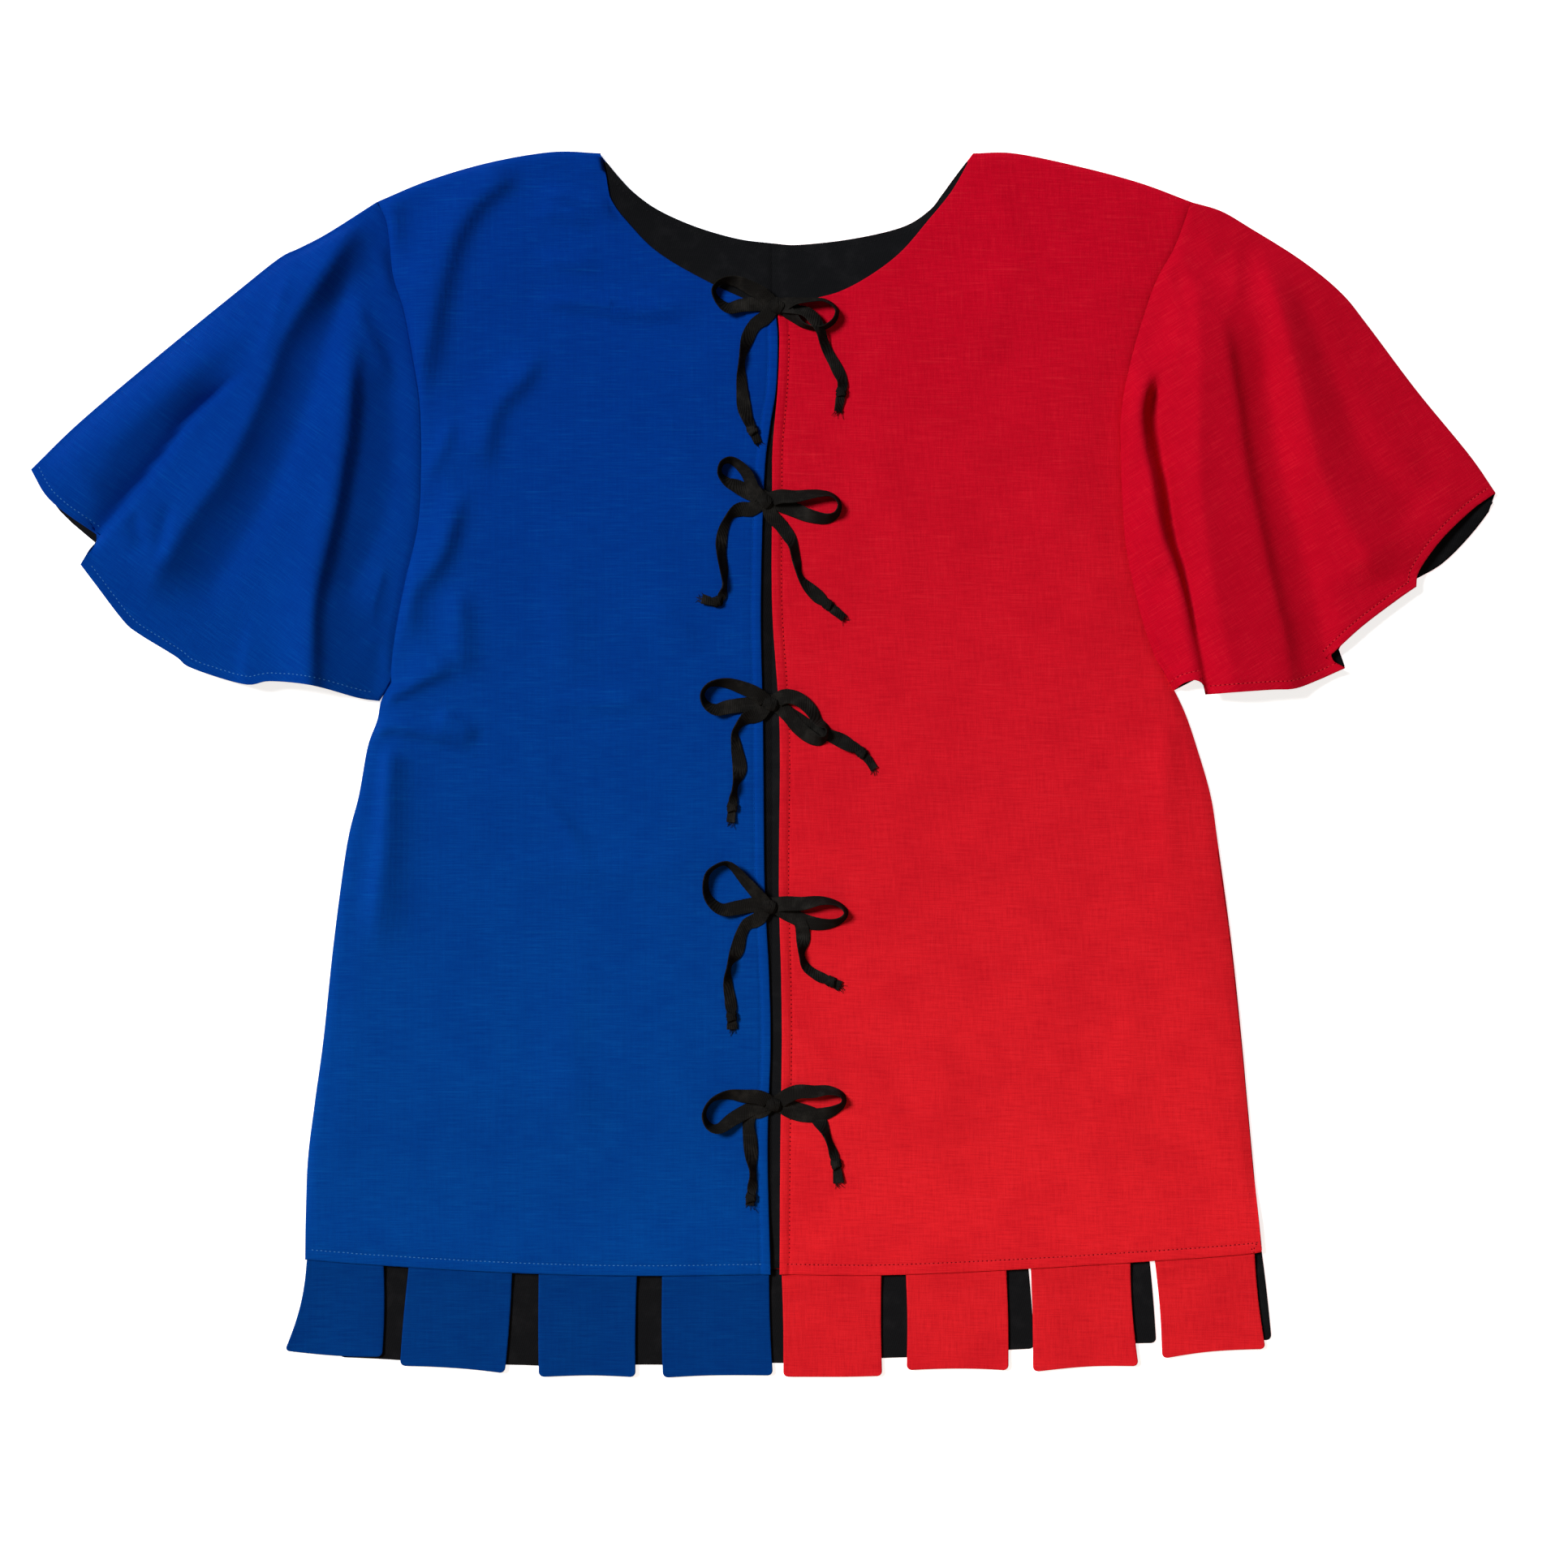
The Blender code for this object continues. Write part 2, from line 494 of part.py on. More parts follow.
def side_line(side):
    """The side seam, with its last piece one hem row long."""
    curve = smooth_curve(side.side)
    last = 1 - HEM_ROW / lengths_along(curve)[-1]
    return at_shares(curve, np.append(np.linspace(0, last, SIDE_PIECES + 1), 1))


def front_panel(side):
    """One front, puffed up between its seams, and lifted along the hem by the dags under it."""
    armhole = shifted(armhole_line(side), side.turn * SEAM / 2)
    seam = side_line(side)
    seam[0] = armhole[-1]
    left = np.vstack([armhole, seam[1:]])
    shoulder = at_shares(smooth_curve(side.shoulder), np.linspace(0, 1, SHOULDER_PIECES + 1))
    shoulder[0] = armhole[0]
    neck = at_shares(smooth_curve(side.neck_front), np.linspace(0, 1, NECK_PIECES + 1))
    top = np.vstack([shoulder, neck[1:]])
    near_side = top[0] + (top[1] - top[0]) * SIDE_COLUMN / np.linalg.norm(top[1] - top[0])
    top = np.vstack([top[:1], near_side, top[1:]])
    right = at_shares(smooth_curve(side.centre), shares_of(left))
    bottom_shares = shares_of(top)
    bottom = at_shares(smooth_curve(side.hem), bottom_shares)
    points = patch(left, right, top, bottom)
    u = np.broadcast_to(bottom_shares[None], points.shape[:2])
    v = np.broadcast_to(shares_of(left)[:, None], points.shape[:2])
    puff = (smooth_step(u / PUFF_FROM_SIDE) * smooth_step((1 - u) / PUFF_FROM_CENTRE)
            * smooth_step(v / PUFF_FROM_SHOULDER) * smooth_step((1 - v) / PUFF_FROM_HEM))
    height = front_height(points, side.puff * puff, PANEL_FOLDS)
    from_hem = np.linalg.norm(points - points[-1:], axis=2)
    hem_rise = smooth_step(1 - (from_hem - HEM_ROW - 1) / HEM_FADE)
    height = height + (HEM_TOP - FRONT_TOP) * hem_rise
    # The seams at the shoulder and the side draw the edge down to the back
    drop = FRONT_TOP - SEAM_TOP
    height[0, :SHOULDER_PIECES + 1] -= drop
    height[ARMHOLE_PIECES + 1:, 0] -= drop * (1 - hem_rise[ARMHOLE_PIECES + 1:, 0])
    bottom_height = np.where(height < FRONT_TOP, height - CLOTH, underside(points, height))
    return sheet_solid("front_" + side.name, points, height, bottom_height, side.finish)


def back_hem(side):
    return smooth_curve(side.hem) + (0, BACK_HEM_UP)


def back_outline(side):
    """The back's outline, anticlockwise, and the name of each of its edges."""
    armhole = shifted(armhole_line(side), side.turn * SEAM / 2)[::2]
    seam = side_line(side)[1:-1]
    hem = at_shares(back_hem(side), np.linspace(0, 1, BACK_HEM_PIECES + 1))
    hem[-1, 0] = CENTRE_BACK_X - side.turn * SEAM / 2
    neck = at_shares(smooth_curve(side.neck_back), np.linspace(0, 1, 13))
    neck[-1, 0] = hem[-1, 0]
    shoulder = at_shares(smooth_curve(side.shoulder), np.linspace(0, 1, SHOULDER_PIECES + 1))[1:-1]
    runs = (("armhole", armhole), ("side", seam), ("hem", hem), ("centre", neck[::-1]), ("shoulder", shoulder[::-1]))
    outline = np.vstack([run for _, run in runs])
    names = [name for name, run in runs for _ in run]
    centre = names.index("centre")
    names[centre - 1] = "centre"
    names[centre:centre + len(neck)] = ["neck"] * (len(neck) - 1) + ["shoulder"]
    if side.turn < 0:
        outline, names = outline[::-1], names[-2::-1] + names[-1:]
    return outline, names


def back_panel(side):
    outline, _ = back_outline(side)
    return flat_solid("back_" + side.name, outline, 0, CLOTH, side.finish)


def back_lining(side):
    """The lining of one half of the back, short of the seams that close over it."""
    outline, names = back_outline(side)
    turned_in = {"shoulder": LINING_IN_SHOULDER, "side": LINING_IN, "armhole": LINING_IN, "hem": LINING_IN_HEM,
                 "centre": 0, "neck": 0}
    lining = inset(outline, [turned_in[name] for name in names])
    return flat_solid("back_lining_" + side.name, lining, LINING_Z, LINING, BLACK)


def sleeve_grids(side):
    """Points of the sleeve's front half and of its back half, from the armhole to the hem."""
    armhole = shifted(armhole_line(side), -side.turn * SEAM / 2)
    hem_front = cut_stretches(side.hem_front)
    hem_back = cut_stretches(side.hem_back)
    shares = np.linspace(0, 1, SLEEVE_LENGTH_PIECES + 1)
    overarm = at_shares(smooth_curve(side.overarm), shares)
    underarm = at_shares(smooth_curve(side.underarm), shares)
    overarm[0], underarm[0] = armhole[0], armhole[-1]
    # A notch in the hem doesn't reach far up the sleeve
    even = hem_front.copy()
    for _ in range(3):
        even[1:-1] = (even[:-2] + even[1:-1] + even[2:]) / 3
    near_hem = smooth_step((shares - 1 + NOTCH_REACH) / NOTCH_REACH)[:, None, None]
    front = np.swapaxes(patch(armhole, even, overarm, underarm), 0, 1)
    front = front + near_hem * (hem_front - even)
    back = np.swapaxes(patch(armhole[::2], hem_back, overarm, underarm), 0, 1)
    return front, back


def towards(a, b, distance):
    step = b - a
    return a + step / np.linalg.norm(step, axis=-1, keepdims=True) * distance


def sleeve(side):
    """A bell sleeve: one cloth folded over the arm and seamed under it."""
    front, back = sleeve_grids(side)
    rings, columns = front.shape[:2]
    u = np.linspace(0, 1, rings)[:, None]
    v = np.linspace(0, 1, columns)[None]
    loft = SLEEVE_LOFT * smooth_step(u / SLEEVE_RISE) * np.clip(np.sin(math.pi * v), 0, 1) ** SLEEVE_ROUNDNESS
    top = front_height(front, loft, SLEEVE_FOLDS)
    under = underside(front, top)
    fold_out = FRONT_TOP / 2
    over, beside = front[:, 0], front[:, -1]

    def level(points, z):
        return np.dstack([points[:, None], np.full((rings, 1, 1), z)])

    def rings_of(inward, front_z, front_heights, back_z):
        """One face of the wall: rounded at both folded edges, over the front and back along the back."""
        parts = [
            level(towards(over, front[:, 1], inward), fold_out),
            level(towards(over, front[:, 1], fold_out), front_z),
            np.dstack([front[:, 1:-1], front_heights[:, 1:-1]]),
            level(towards(beside, front[:, -2], fold_out), front_z),
            level(towards(beside, front[:, -2], inward), fold_out),
            level(towards(beside, back[:, -2], fold_out), back_z),
            np.dstack([back[:, -2:0:-1], np.full((rings, back.shape[1] - 2), back_z)]),
            level(towards(over, back[:, 1], fold_out), back_z),
        ]
        return np.concatenate(parts, axis=1)

    outer = rings_of(0, FRONT_TOP, top, 0)
    inner = rings_of(CLOTH, FRONT_UNDER, under, CLOTH)
    return tube_solid("sleeve_" + side.name, outer, inner, side.finish)


def sleeve_lining(side):
    """The lining on the back half of the sleeve, which shows at the mouth."""
    _, back = sleeve_grids(side)
    outline = np.vstack([back[:-1, 0], back[-1, :-1], back[:0:-1, -1], back[0, :0:-1]])
    rings, columns = back.shape[:2]
    names = ["seam"] * (rings - 1) + ["hem"] * (columns - 1) + ["seam"] * (rings - 1 + columns - 1)
    if side.turn < 0:
        outline, names = outline[::-1], names[-2::-1] + names[-1:]
    turned_in = {"seam": LINING_IN_SLEEVE, "hem": LINING_IN_HEM}
    lining = inset(outline, [turned_in[name] for name in names])
    return flat_solid("sleeve_lining_" + side.name, lining, LINING_Z, LINING, BLACK)


def dag_outline_columns(left, right, corner):
    """Four points from left to right, the outer two one corner radius in."""
    long = np.linalg.norm(right - left)
    return [left + (right - left) * share for share in (0, corner / long, 1 - corner / long, 1)]


def front_dag(name, dag, finish):
    """A dag sewn under the front hem, which then lies down on the back dags."""
    top_left, top_right = np.array(dag.top_left), np.array(dag.top_right)
    low_left, low_right = np.array(dag.low_left), np.array(dag.low_right)
    long = np.linalg.norm(low_left - top_left)
    # Rows: share of the length from the hem, and height of the underside
    rows = ((-DAG_TUCK / long, FRONT_UNDER), (DAG_SEWN, FRONT_UNDER), (DAG_DOWN, DAG_LOW), (DAG_MIDDLE, DAG_LOW),
            (1 - DAG_CORNER / long, DAG_LOW), (1, DAG_LOW + CLEAR))
    grid, heights = [], []
    for share, height in rows:
        left = top_left + (low_left - top_left) * share
        right = top_right + (low_right - top_right) * share
        columns = dag_outline_columns(left, right, DAG_CORNER)
        if share == 1:
            up = (top_left - low_left) / long * DAG_CORNER_IN * DAG_CORNER
            columns[0] = columns[0] + (columns[1] - columns[0]) * DAG_CORNER_IN + up
            columns[3] = columns[3] + (columns[2] - columns[3]) * DAG_CORNER_IN + up
        grid.append(columns)
        heights.append([height] * len(columns))
    grid, heights = np.array(grid), np.array(heights)
    return sheet_solid(name, grid, heights + DAG, heights, finish)


def back_dag(name, top_right_x, low_right_x, hem_line, finish):
    """A dag that hangs from the back hem and lies flat, its lining upwards."""
    low_line = smooth_curve(BACK_HEM_LOW)
    low_left_x, top_left_x = low_right_x - BACK_DAG_WIDTH, top_right_x - BACK_DAG_WIDTH

    def on(line, x):
        order = line[:, 0].argsort()
        return np.array([x, np.interp(x, line[order, 0], line[order, 1])])

    seam = [on(hem_line, x) - (0, 2 * CLEAR) for x in np.linspace(top_right_x, top_left_x, DAG_TOP_PIECES + 1)]
    top_right, top_left = seam[0], seam[-1]
    low_left, low_right = on(low_line, low_left_x), on(low_line, low_right_x)
    outline = list(seam)
    inner = DAG_CORNER_IN * DAG_CORNER
    for corner, before, after in ((low_left, top_left, low_right), (low_right, low_left, top_right)):
        outline += [towards(corner, before, DAG_CORNER),
                    (towards(corner, before, inner) + towards(corner, after, inner)) / 2,
                    towards(corner, after, DAG_CORNER)]
    return flat_solid(name, np.array(outline), 0, DAG, finish)


# Ties

def surface_under(panels):
    """A function that gives the height of the cloth below a place."""
    trees = []
    for panel in panels:
        corners = [v.co / METRE for v in panel.data.vertices]
        trees.append(BVHTree.FromPolygons(corners, [tuple(p.vertices) for p in panel.data.polygons]))

    def height(x, y):
        found = [FRONT_TOP]
        for tree in trees:
            hit = tree.ray_cast(Vector((x, y, 100)), Vector((0, 0, -1)))[0]
            if hit is not None:
                found.append(hit.z)
        return max(found)

    return height


def tape(name, bow, rows, steps, surface, knot_at=None):
    """A tape that follows its rows over the cloth, with a knot tied in it at a share of its length."""
    line = smooth_curve([(bow.x + dx, bow.y + dy, lift, roll) for dx, dy, lift, roll in rows], steps=8)
    shares = np.linspace(0, 1, steps + 1)
    long = lengths_along(line)[-1]
    knotted = np.zeros(len(shares), bool)
    if knot_at is not None:
        half = END_KNOT_LENGTH / 2 / long
        clear = shares[np.abs(shares - knot_at) > END_KNOT_ROOM / long]
        bulge = [knot_at - half, knot_at - half / 2, knot_at + half / 2, knot_at + half]
        shares = np.sort(np.concatenate([clear, bulge]))
        knotted = np.abs(shares - knot_at) < half * KNOT_CORE
    line = at_shares(line, shares)
    along = np.gradient(line[:, :2], axis=0)
    along /= np.linalg.norm(along, axis=1)[:, None]
    across = np.column_stack([along[:, 1], -along[:, 0]])
    points = []
    for k, (x, y, lift, roll) in enumerate(line):
        width, thick, turn = TAPE, TAPE_THICK, math.radians(roll)
        if knotted[k]:
            width, thick, turn = *END_KNOT, 0
        half_width, half_thick = width / 2, thick / 2
        reach = half_width * math.cos(turn)
        beds = [surface(x + s * reach * across[k, 0], y + s * reach * across[k, 1]) for s in (-1, 0, 1)]
        middle = max(beds) + lift + half_width * math.sin(turn) + half_thick * math.cos(turn)
        wide = np.array([*(across[k] * math.cos(turn)), math.sin(turn)])
        up = np.array([*(-across[k] * math.sin(turn)), math.cos(turn)])
        centre = np.array([x, y, middle])
        for s, t in ((-1, -1), (1, -1), (1, 1), (-1, 1)):
            points.append(centre + s * half_width * wide + t * half_thick * up)
    faces = [(3, 2, 1, 0), tuple(len(points) - 4 + i for i in range(4))]
    for k in range(len(line) - 1):
        base = 4 * k
        faces += [(base + i, base + (i + 1) % 4, base + 4 + (i + 1) % 4, base + 4 + i) for i in range(4)]
    return add_solid(name, points, faces, TAPE_BLACK)


def bow_knot(name, bow, surface):
    """The tight knot that holds the loops."""
    mesh = bmesh.new()
    bmesh.ops.create_uvsphere(mesh, u_segments=12, v_segments=7, radius=1)
    middle = surface(bow.x, bow.y) + CLEAR + KNOT[2]
    points = [np.array(v.co) * KNOT + (bow.x, bow.y, middle) for v in mesh.verts]
    faces = [[v.index for v in face.verts] for face in mesh.faces]
    mesh.free()
    return add_solid(name, points, faces, TAPE_BLACK)


def tie(number, bow, surface):
    name = f"bow_{number}_"
    bow_knot(name + "knot", bow, surface)
    tape(name + "left_loop", bow, bow.left_loop, LOOP_STEPS, surface)
    tape(name + "right_loop", bow, bow.right_loop, LOOP_STEPS, surface)
    tape(name + "left_tail", bow, bow.left_tail, TAIL_STEPS, surface, bow.left_knot)
    tape(name + "right_tail", bow, bow.right_tail, TAIL_STEPS, surface, bow.right_knot)


def build():
    for old in list(bpy.data.objects):
        bpy.data.objects.remove(old, do_unlink=True)
    fronts = []
    for side in SIDES:
        fronts.append(front_panel(side))
        back_panel(side)
        back_lining(side)
        sleeve(side)
        sleeve_lining(side)
        for number, dag in enumerate(side.front_dags, 1):
            front_dag(f"dag_front_{side.name}_{number}", dag, side.finish)
    hem_line = np.vstack([back_hem(side) for side in SIDES])
    for i in range(BACK_DAGS):
        side = SIDES[0] if i >= BACK_DAGS_BLUE_FROM - 1 else SIDES[1]
        back_dag(f"dag_back_{i + 1}", BACK_DAG_FIRST_TOP - i * BACK_DAG_PITCH_TOP,
                 BACK_DAG_FIRST_LOW - i * BACK_DAG_PITCH_LOW, hem_line, side.finish)
    surface = surface_under(fronts)
    for number, bow in enumerate(BOWS, 1):
        tie(number, bow, surface)


build()
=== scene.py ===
"""The looks of a medieval surcoat of linen, half blue and half red, laid flat on its back.

Each piece of cloth is a thin shell with turned edges, soft folds, topstitching and a
plain weave. Five bows of black tape, each tied from two tapes, close its front.
Sizes in the tables are millimetres, in the frame's own axes.
"""

import math
from collections import namedtuple

import bpy
import numpy as np
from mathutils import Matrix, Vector
from mathutils.bvhtree import BVHTree


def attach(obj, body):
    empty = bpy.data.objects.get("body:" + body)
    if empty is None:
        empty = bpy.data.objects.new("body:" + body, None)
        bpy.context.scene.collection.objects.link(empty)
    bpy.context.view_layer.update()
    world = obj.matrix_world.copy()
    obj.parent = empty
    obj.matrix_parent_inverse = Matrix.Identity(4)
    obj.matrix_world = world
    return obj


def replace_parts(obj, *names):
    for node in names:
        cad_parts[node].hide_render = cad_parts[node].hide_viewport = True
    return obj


bl_info = {
    "name": "Medieval surcoat",
    "version": (1, 0, 0),
    "blender": (4, 5, 0),
    "location": "3D View > Sidebar > Surcoat",
    "description": "Dresses the parti-coloured surcoat: linen, lining, stitches, ties and stage",
    "category": "Object",
}

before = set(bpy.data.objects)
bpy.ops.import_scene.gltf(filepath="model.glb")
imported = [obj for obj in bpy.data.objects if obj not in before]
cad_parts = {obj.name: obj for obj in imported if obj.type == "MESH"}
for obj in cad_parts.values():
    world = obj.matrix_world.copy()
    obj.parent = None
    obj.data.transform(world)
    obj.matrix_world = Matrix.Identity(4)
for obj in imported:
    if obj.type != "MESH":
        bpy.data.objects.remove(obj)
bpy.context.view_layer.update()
MM = 0.001
BODY = "root"

# Layers, from the floor up
CLOTH = 1.2
LINING = 1.2
DAG = 1.5
CLEAR = 0.3
LINING_Z = CLOTH + CLEAR
FRONT_UNDER = LINING_Z + LINING + CLEAR
FRONT_TOP = FRONT_UNDER + CLOTH
SEAM_TOP = CLOTH + CLEAR + CLOTH
HEM_TOP = FRONT_UNDER + DAG + CLEAR + CLOTH

# Where pieces meet: the gap at a seam, which is an overlap where it is negative, and how
# far the linings stay inside the edges of the cloth
SEAM = -0.5
CENTRE_BACK_X = 6.0
BACK_HEM_UP = 3.0
LINING_IN = 12.0
LINING_IN_SHOULDER = 6.0
LINING_IN_SLEEVE = 6.0
LINING_IN_HEM = 1.0

# The front hem and its dags: how far up they lift it, over what length that fades, how far
# they are tucked in, the radius of their corners, and how low they lie
HEM_ROW = 12.0
HEM_FADE = 34.0
DAG_TUCK = 7.0
DAG_CORNER = 3.5
DAG_LOW = DAG + 2 * CLEAR
DAG_CLEAR = 0.05

# The front edges: how wide they are turned, at what share of that width the extra
# thickness ends, and how much it is
TURNED_EDGE = 6.6
TURNED_EDGE_ENDS = 1.2
EDGE_THICKER = 1.0

# Rows of stitches and seams: how far inside the edge they run, and the dips along them
HEM_STITCH_UP = 7.0
SLEEVE_STITCH_IN = 5.6
NECK_STITCH_IN = 4.2
GROOVE = 0.45
GROOVE_WIDTH = 1.0
SEAM_DIP = 0.8
SEAM_DIP_WIDTH = 1.2
SEAM_REACH = 4.0

# Rims of the cloth, and the steps in which a sleeve turns round its edges, in degrees
RIM = 0.38
RIM_IN = 1.4
LINING_RIM = 0.08
EDGE_ANGLES = (90, 60, 30, 0, -30, -60, -90)

# How finely the cloth is divided, and the extra lines beside its edges
ARMHOLE_PIECES = 84
SIDE_PIECES = 104
SHOULDER_PIECES = 36
NECK_PIECES = 52
CENTRE_BACK_PIECES = 39
SLEEVE_LENGTH_PIECES = 74
HEM_PIECES_TIMES = 4
BACK_HEM_PIECES_TIMES = 3
SEWN_HEM_PIECES = 59
DAG_ROWS = 26
DAG_COLUMNS = 26
EDGE_LINES = (0.5, 1.6)
STITCHED_LINES = (0.5, 1.6, 4.4, 5.3, 6.0, 6.6, 7.2, 7.9, 8.8)
DAG_EDGE_LINES = (0.5, 1.4)
DAG_CORNER_LINES = (0.4, 1.0, 1.8, 2.6, DAG_CORNER)
CLOSEST_POINTS = 0.4

# How far from its edges the cloth has risen to its full height
PUFF_FROM_SIDE = 22.0
PUFF_FROM_CENTRE = 76.0
PUFF_FROM_TOP = 84.0
PUFF_FROM_HEM = 114.0
ARMHOLE_RISE = 55.0
UNDERARM_RISE = 26.0
SETTLED_EDGE = 5.0

# The notches of a sleeve's hem: what share of the sleeve they reach up, and how fast and
# how far they are smoothed out on the way
NOTCH_REACH = 0.25
NOTCH_BLUR = 0.35
NOTCH_PASSES = 150

# Folds start narrower than they end, and hollows between them settle on the layer below
FOLD_START_WIDTH = 0.55
SETTLE = 0.7
LEAST_LEVEL = 0.6
LEAST_TURN = 0.12

# How a front dag drops from the hem, waves and curls at its foot
DAG_DROPS_BY = 0.2
DAG_LIFT = 0.35
DAG_WAVES = 1.3
DAG_CURL = 0.7
DAG_CURL_FROM = 0.86

# Outlines: rows of x, y

SHOULDER_BLUE = ((-262, 381), (-226, 396), (-185, 408), (-143, 415), (-111, 414))
SHOULDER_RED = ((290, 381), (255, 394), (214, 405), (170, 414), (142, 414))

NECK_FRONT_BLUE = ((-111, 414), (-105, 385), (-90, 364), (-70, 345), (-35, 325), (7, 306))
NECK_FRONT_RED = ((142, 414), (128, 389), (112, 369), (93, 347), (72, 331), (51, 320), (29, 314), (9.5, 306))
NECK_BACK_BLUE = ((-111, 414), (-97, 397), (-86, 386), (-70, 375), (-45, 364), (-17, 356), (6, 353))
NECK_BACK_RED = ((142, 414), (129, 397), (121, 386), (112, 375), (94, 364), (60, 356), (24, 352), (6, 353))

CENTRE_BLUE = ((8.5, 306), (10, 288), (8.8, 255), (4.4, 227), (0.8, 194), (-1.6, 106), (0, 23),
               (1, -81), (4, -142), (5, -191), (3, -260), (5, -345))
CENTRE_RED = ((9.6, 306), (10.8, 288), (9.7, 255), (6.3, 215), (6, 183), (6, 106), (11, 23),
              (10.5, -81), (12, -142), (12.5, -191), (11.5, -260), (11, -345))

HEM_BLUE = ((-310, -335), (-258, -339), (-170, -344), (-86, -346), (5, -345))
HEM_RED = ((337, -327), (330, -331), (249, -337), (165, -342), (81, -345.5), (11, -345))

ARMHOLE_BLUE = ((-262, 381), (-255, 366), (-251, 331), (-244, 309), (-238, 278), (-233, 245),
                (-232, 205), (-234, 163), (-243, 122), (-250, 84), (-253, 55))
ARMHOLE_RED = ((290, 381), (279, 351), (266, 327), (255, 295), (248, 269), (243, 243),
               (242, 216), (245, 154), (254, 108), (264, 76), (271, 63))

SIDE_BLUE = ((-253, 55), (-259, 43), (-261.5, 30), (-268, 12), (-274, -21), (-282, -54), (-291, -120),
             (-298, -186), (-304, -230), (-309, -274), (-310, -335))
SIDE_RED = ((271, 63), (278, 51), (286, 34), (293.5, 12), (303, -21), (308, -54), (317, -120),
            (324, -186), (328, -230), (332, -274), (337, -327))

OVERARM_BLUE = ((-262, 381), (-295, 360), (-314, 350), (-328, 343), (-357, 320), (-411, 276),
                (-463, 232), (-496, 200))
OVERARM_RED = ((290, 381), (310, 375), (329, 364), (364, 342), (391, 320), (409, 298), (442, 254),
               (478, 210), (496, 184))
UNDERARM_BLUE = ((-253, 55), (-256, 49), (-260, 43))
UNDERARM_RED = ((271, 63), (274.5, 56), (278, 50))

# The sleeves' hems, in stretches that meet at corners

Stretch = namedtuple("Stretch", "pieces route")

HEM_FRONT_BLUE = (
    Stretch(4, ((-496, 200), (-481, 178), (-449, 154))),
    Stretch(1, ((-449, 154), (-461, 135))),
    Stretch(19, ((-461, 135), (-452, 123), (-433, 98), (-423, 89), (-397, 73), (-386, 65),
                 (-350, 54), (-332, 56), (-303, 53), (-274, 45), (-260, 43))),
)
HEM_BACK_BLUE = (
    Stretch(2, ((-496, 200), (-480, 176), (-470, 165), (-451, 149))),
    Stretch(10, ((-451, 149), (-442, 130), (-424, 100), (-395, 78), (-352, 59), (-303, 57),
                 (-275, 49), (-260, 43))),
)
HEM_FRONT_RED = (
    Stretch(6, ((496, 184), (479, 172), (458, 152), (443, 131), (441, 120))),
    Stretch(5, ((441, 120), (428, 111), (403, 92), (380.5, 71))),
    Stretch(1, ((380.5, 71), (393, 65))),
    Stretch(8, ((393, 65), (375, 57), (358, 51), (340, 50), (298, 47))),
    Stretch(1, ((298, 47), (296, 58))),
    Stretch(3, ((296, 58), (284, 55), (278, 50))),
)
HEM_BACK_RED = (
    Stretch(4, ((496, 184), (494, 175), (479, 155), (460, 136), (441, 125))),
    Stretch(2, ((441, 125), (424, 112), (398, 91), (390, 78))),
    Stretch(1, ((390, 78), (394, 66.5))),
    Stretch(4, ((394, 66.5), (374, 60), (341, 53), (303, 51))),
    Stretch(1, ((303, 51), (297, 60), (285, 56), (278, 51))),
)

# Folds: how high each rises, or dips where that is negative, how far it reaches to the
# left and to the right of its route, and the shares of the route over which it fades.
# Its sides meet in a crease where sharp is near 1, and round at 2.

Fold = namedtuple("Fold", "height left right start end route sharp", defaults=(2.0,))

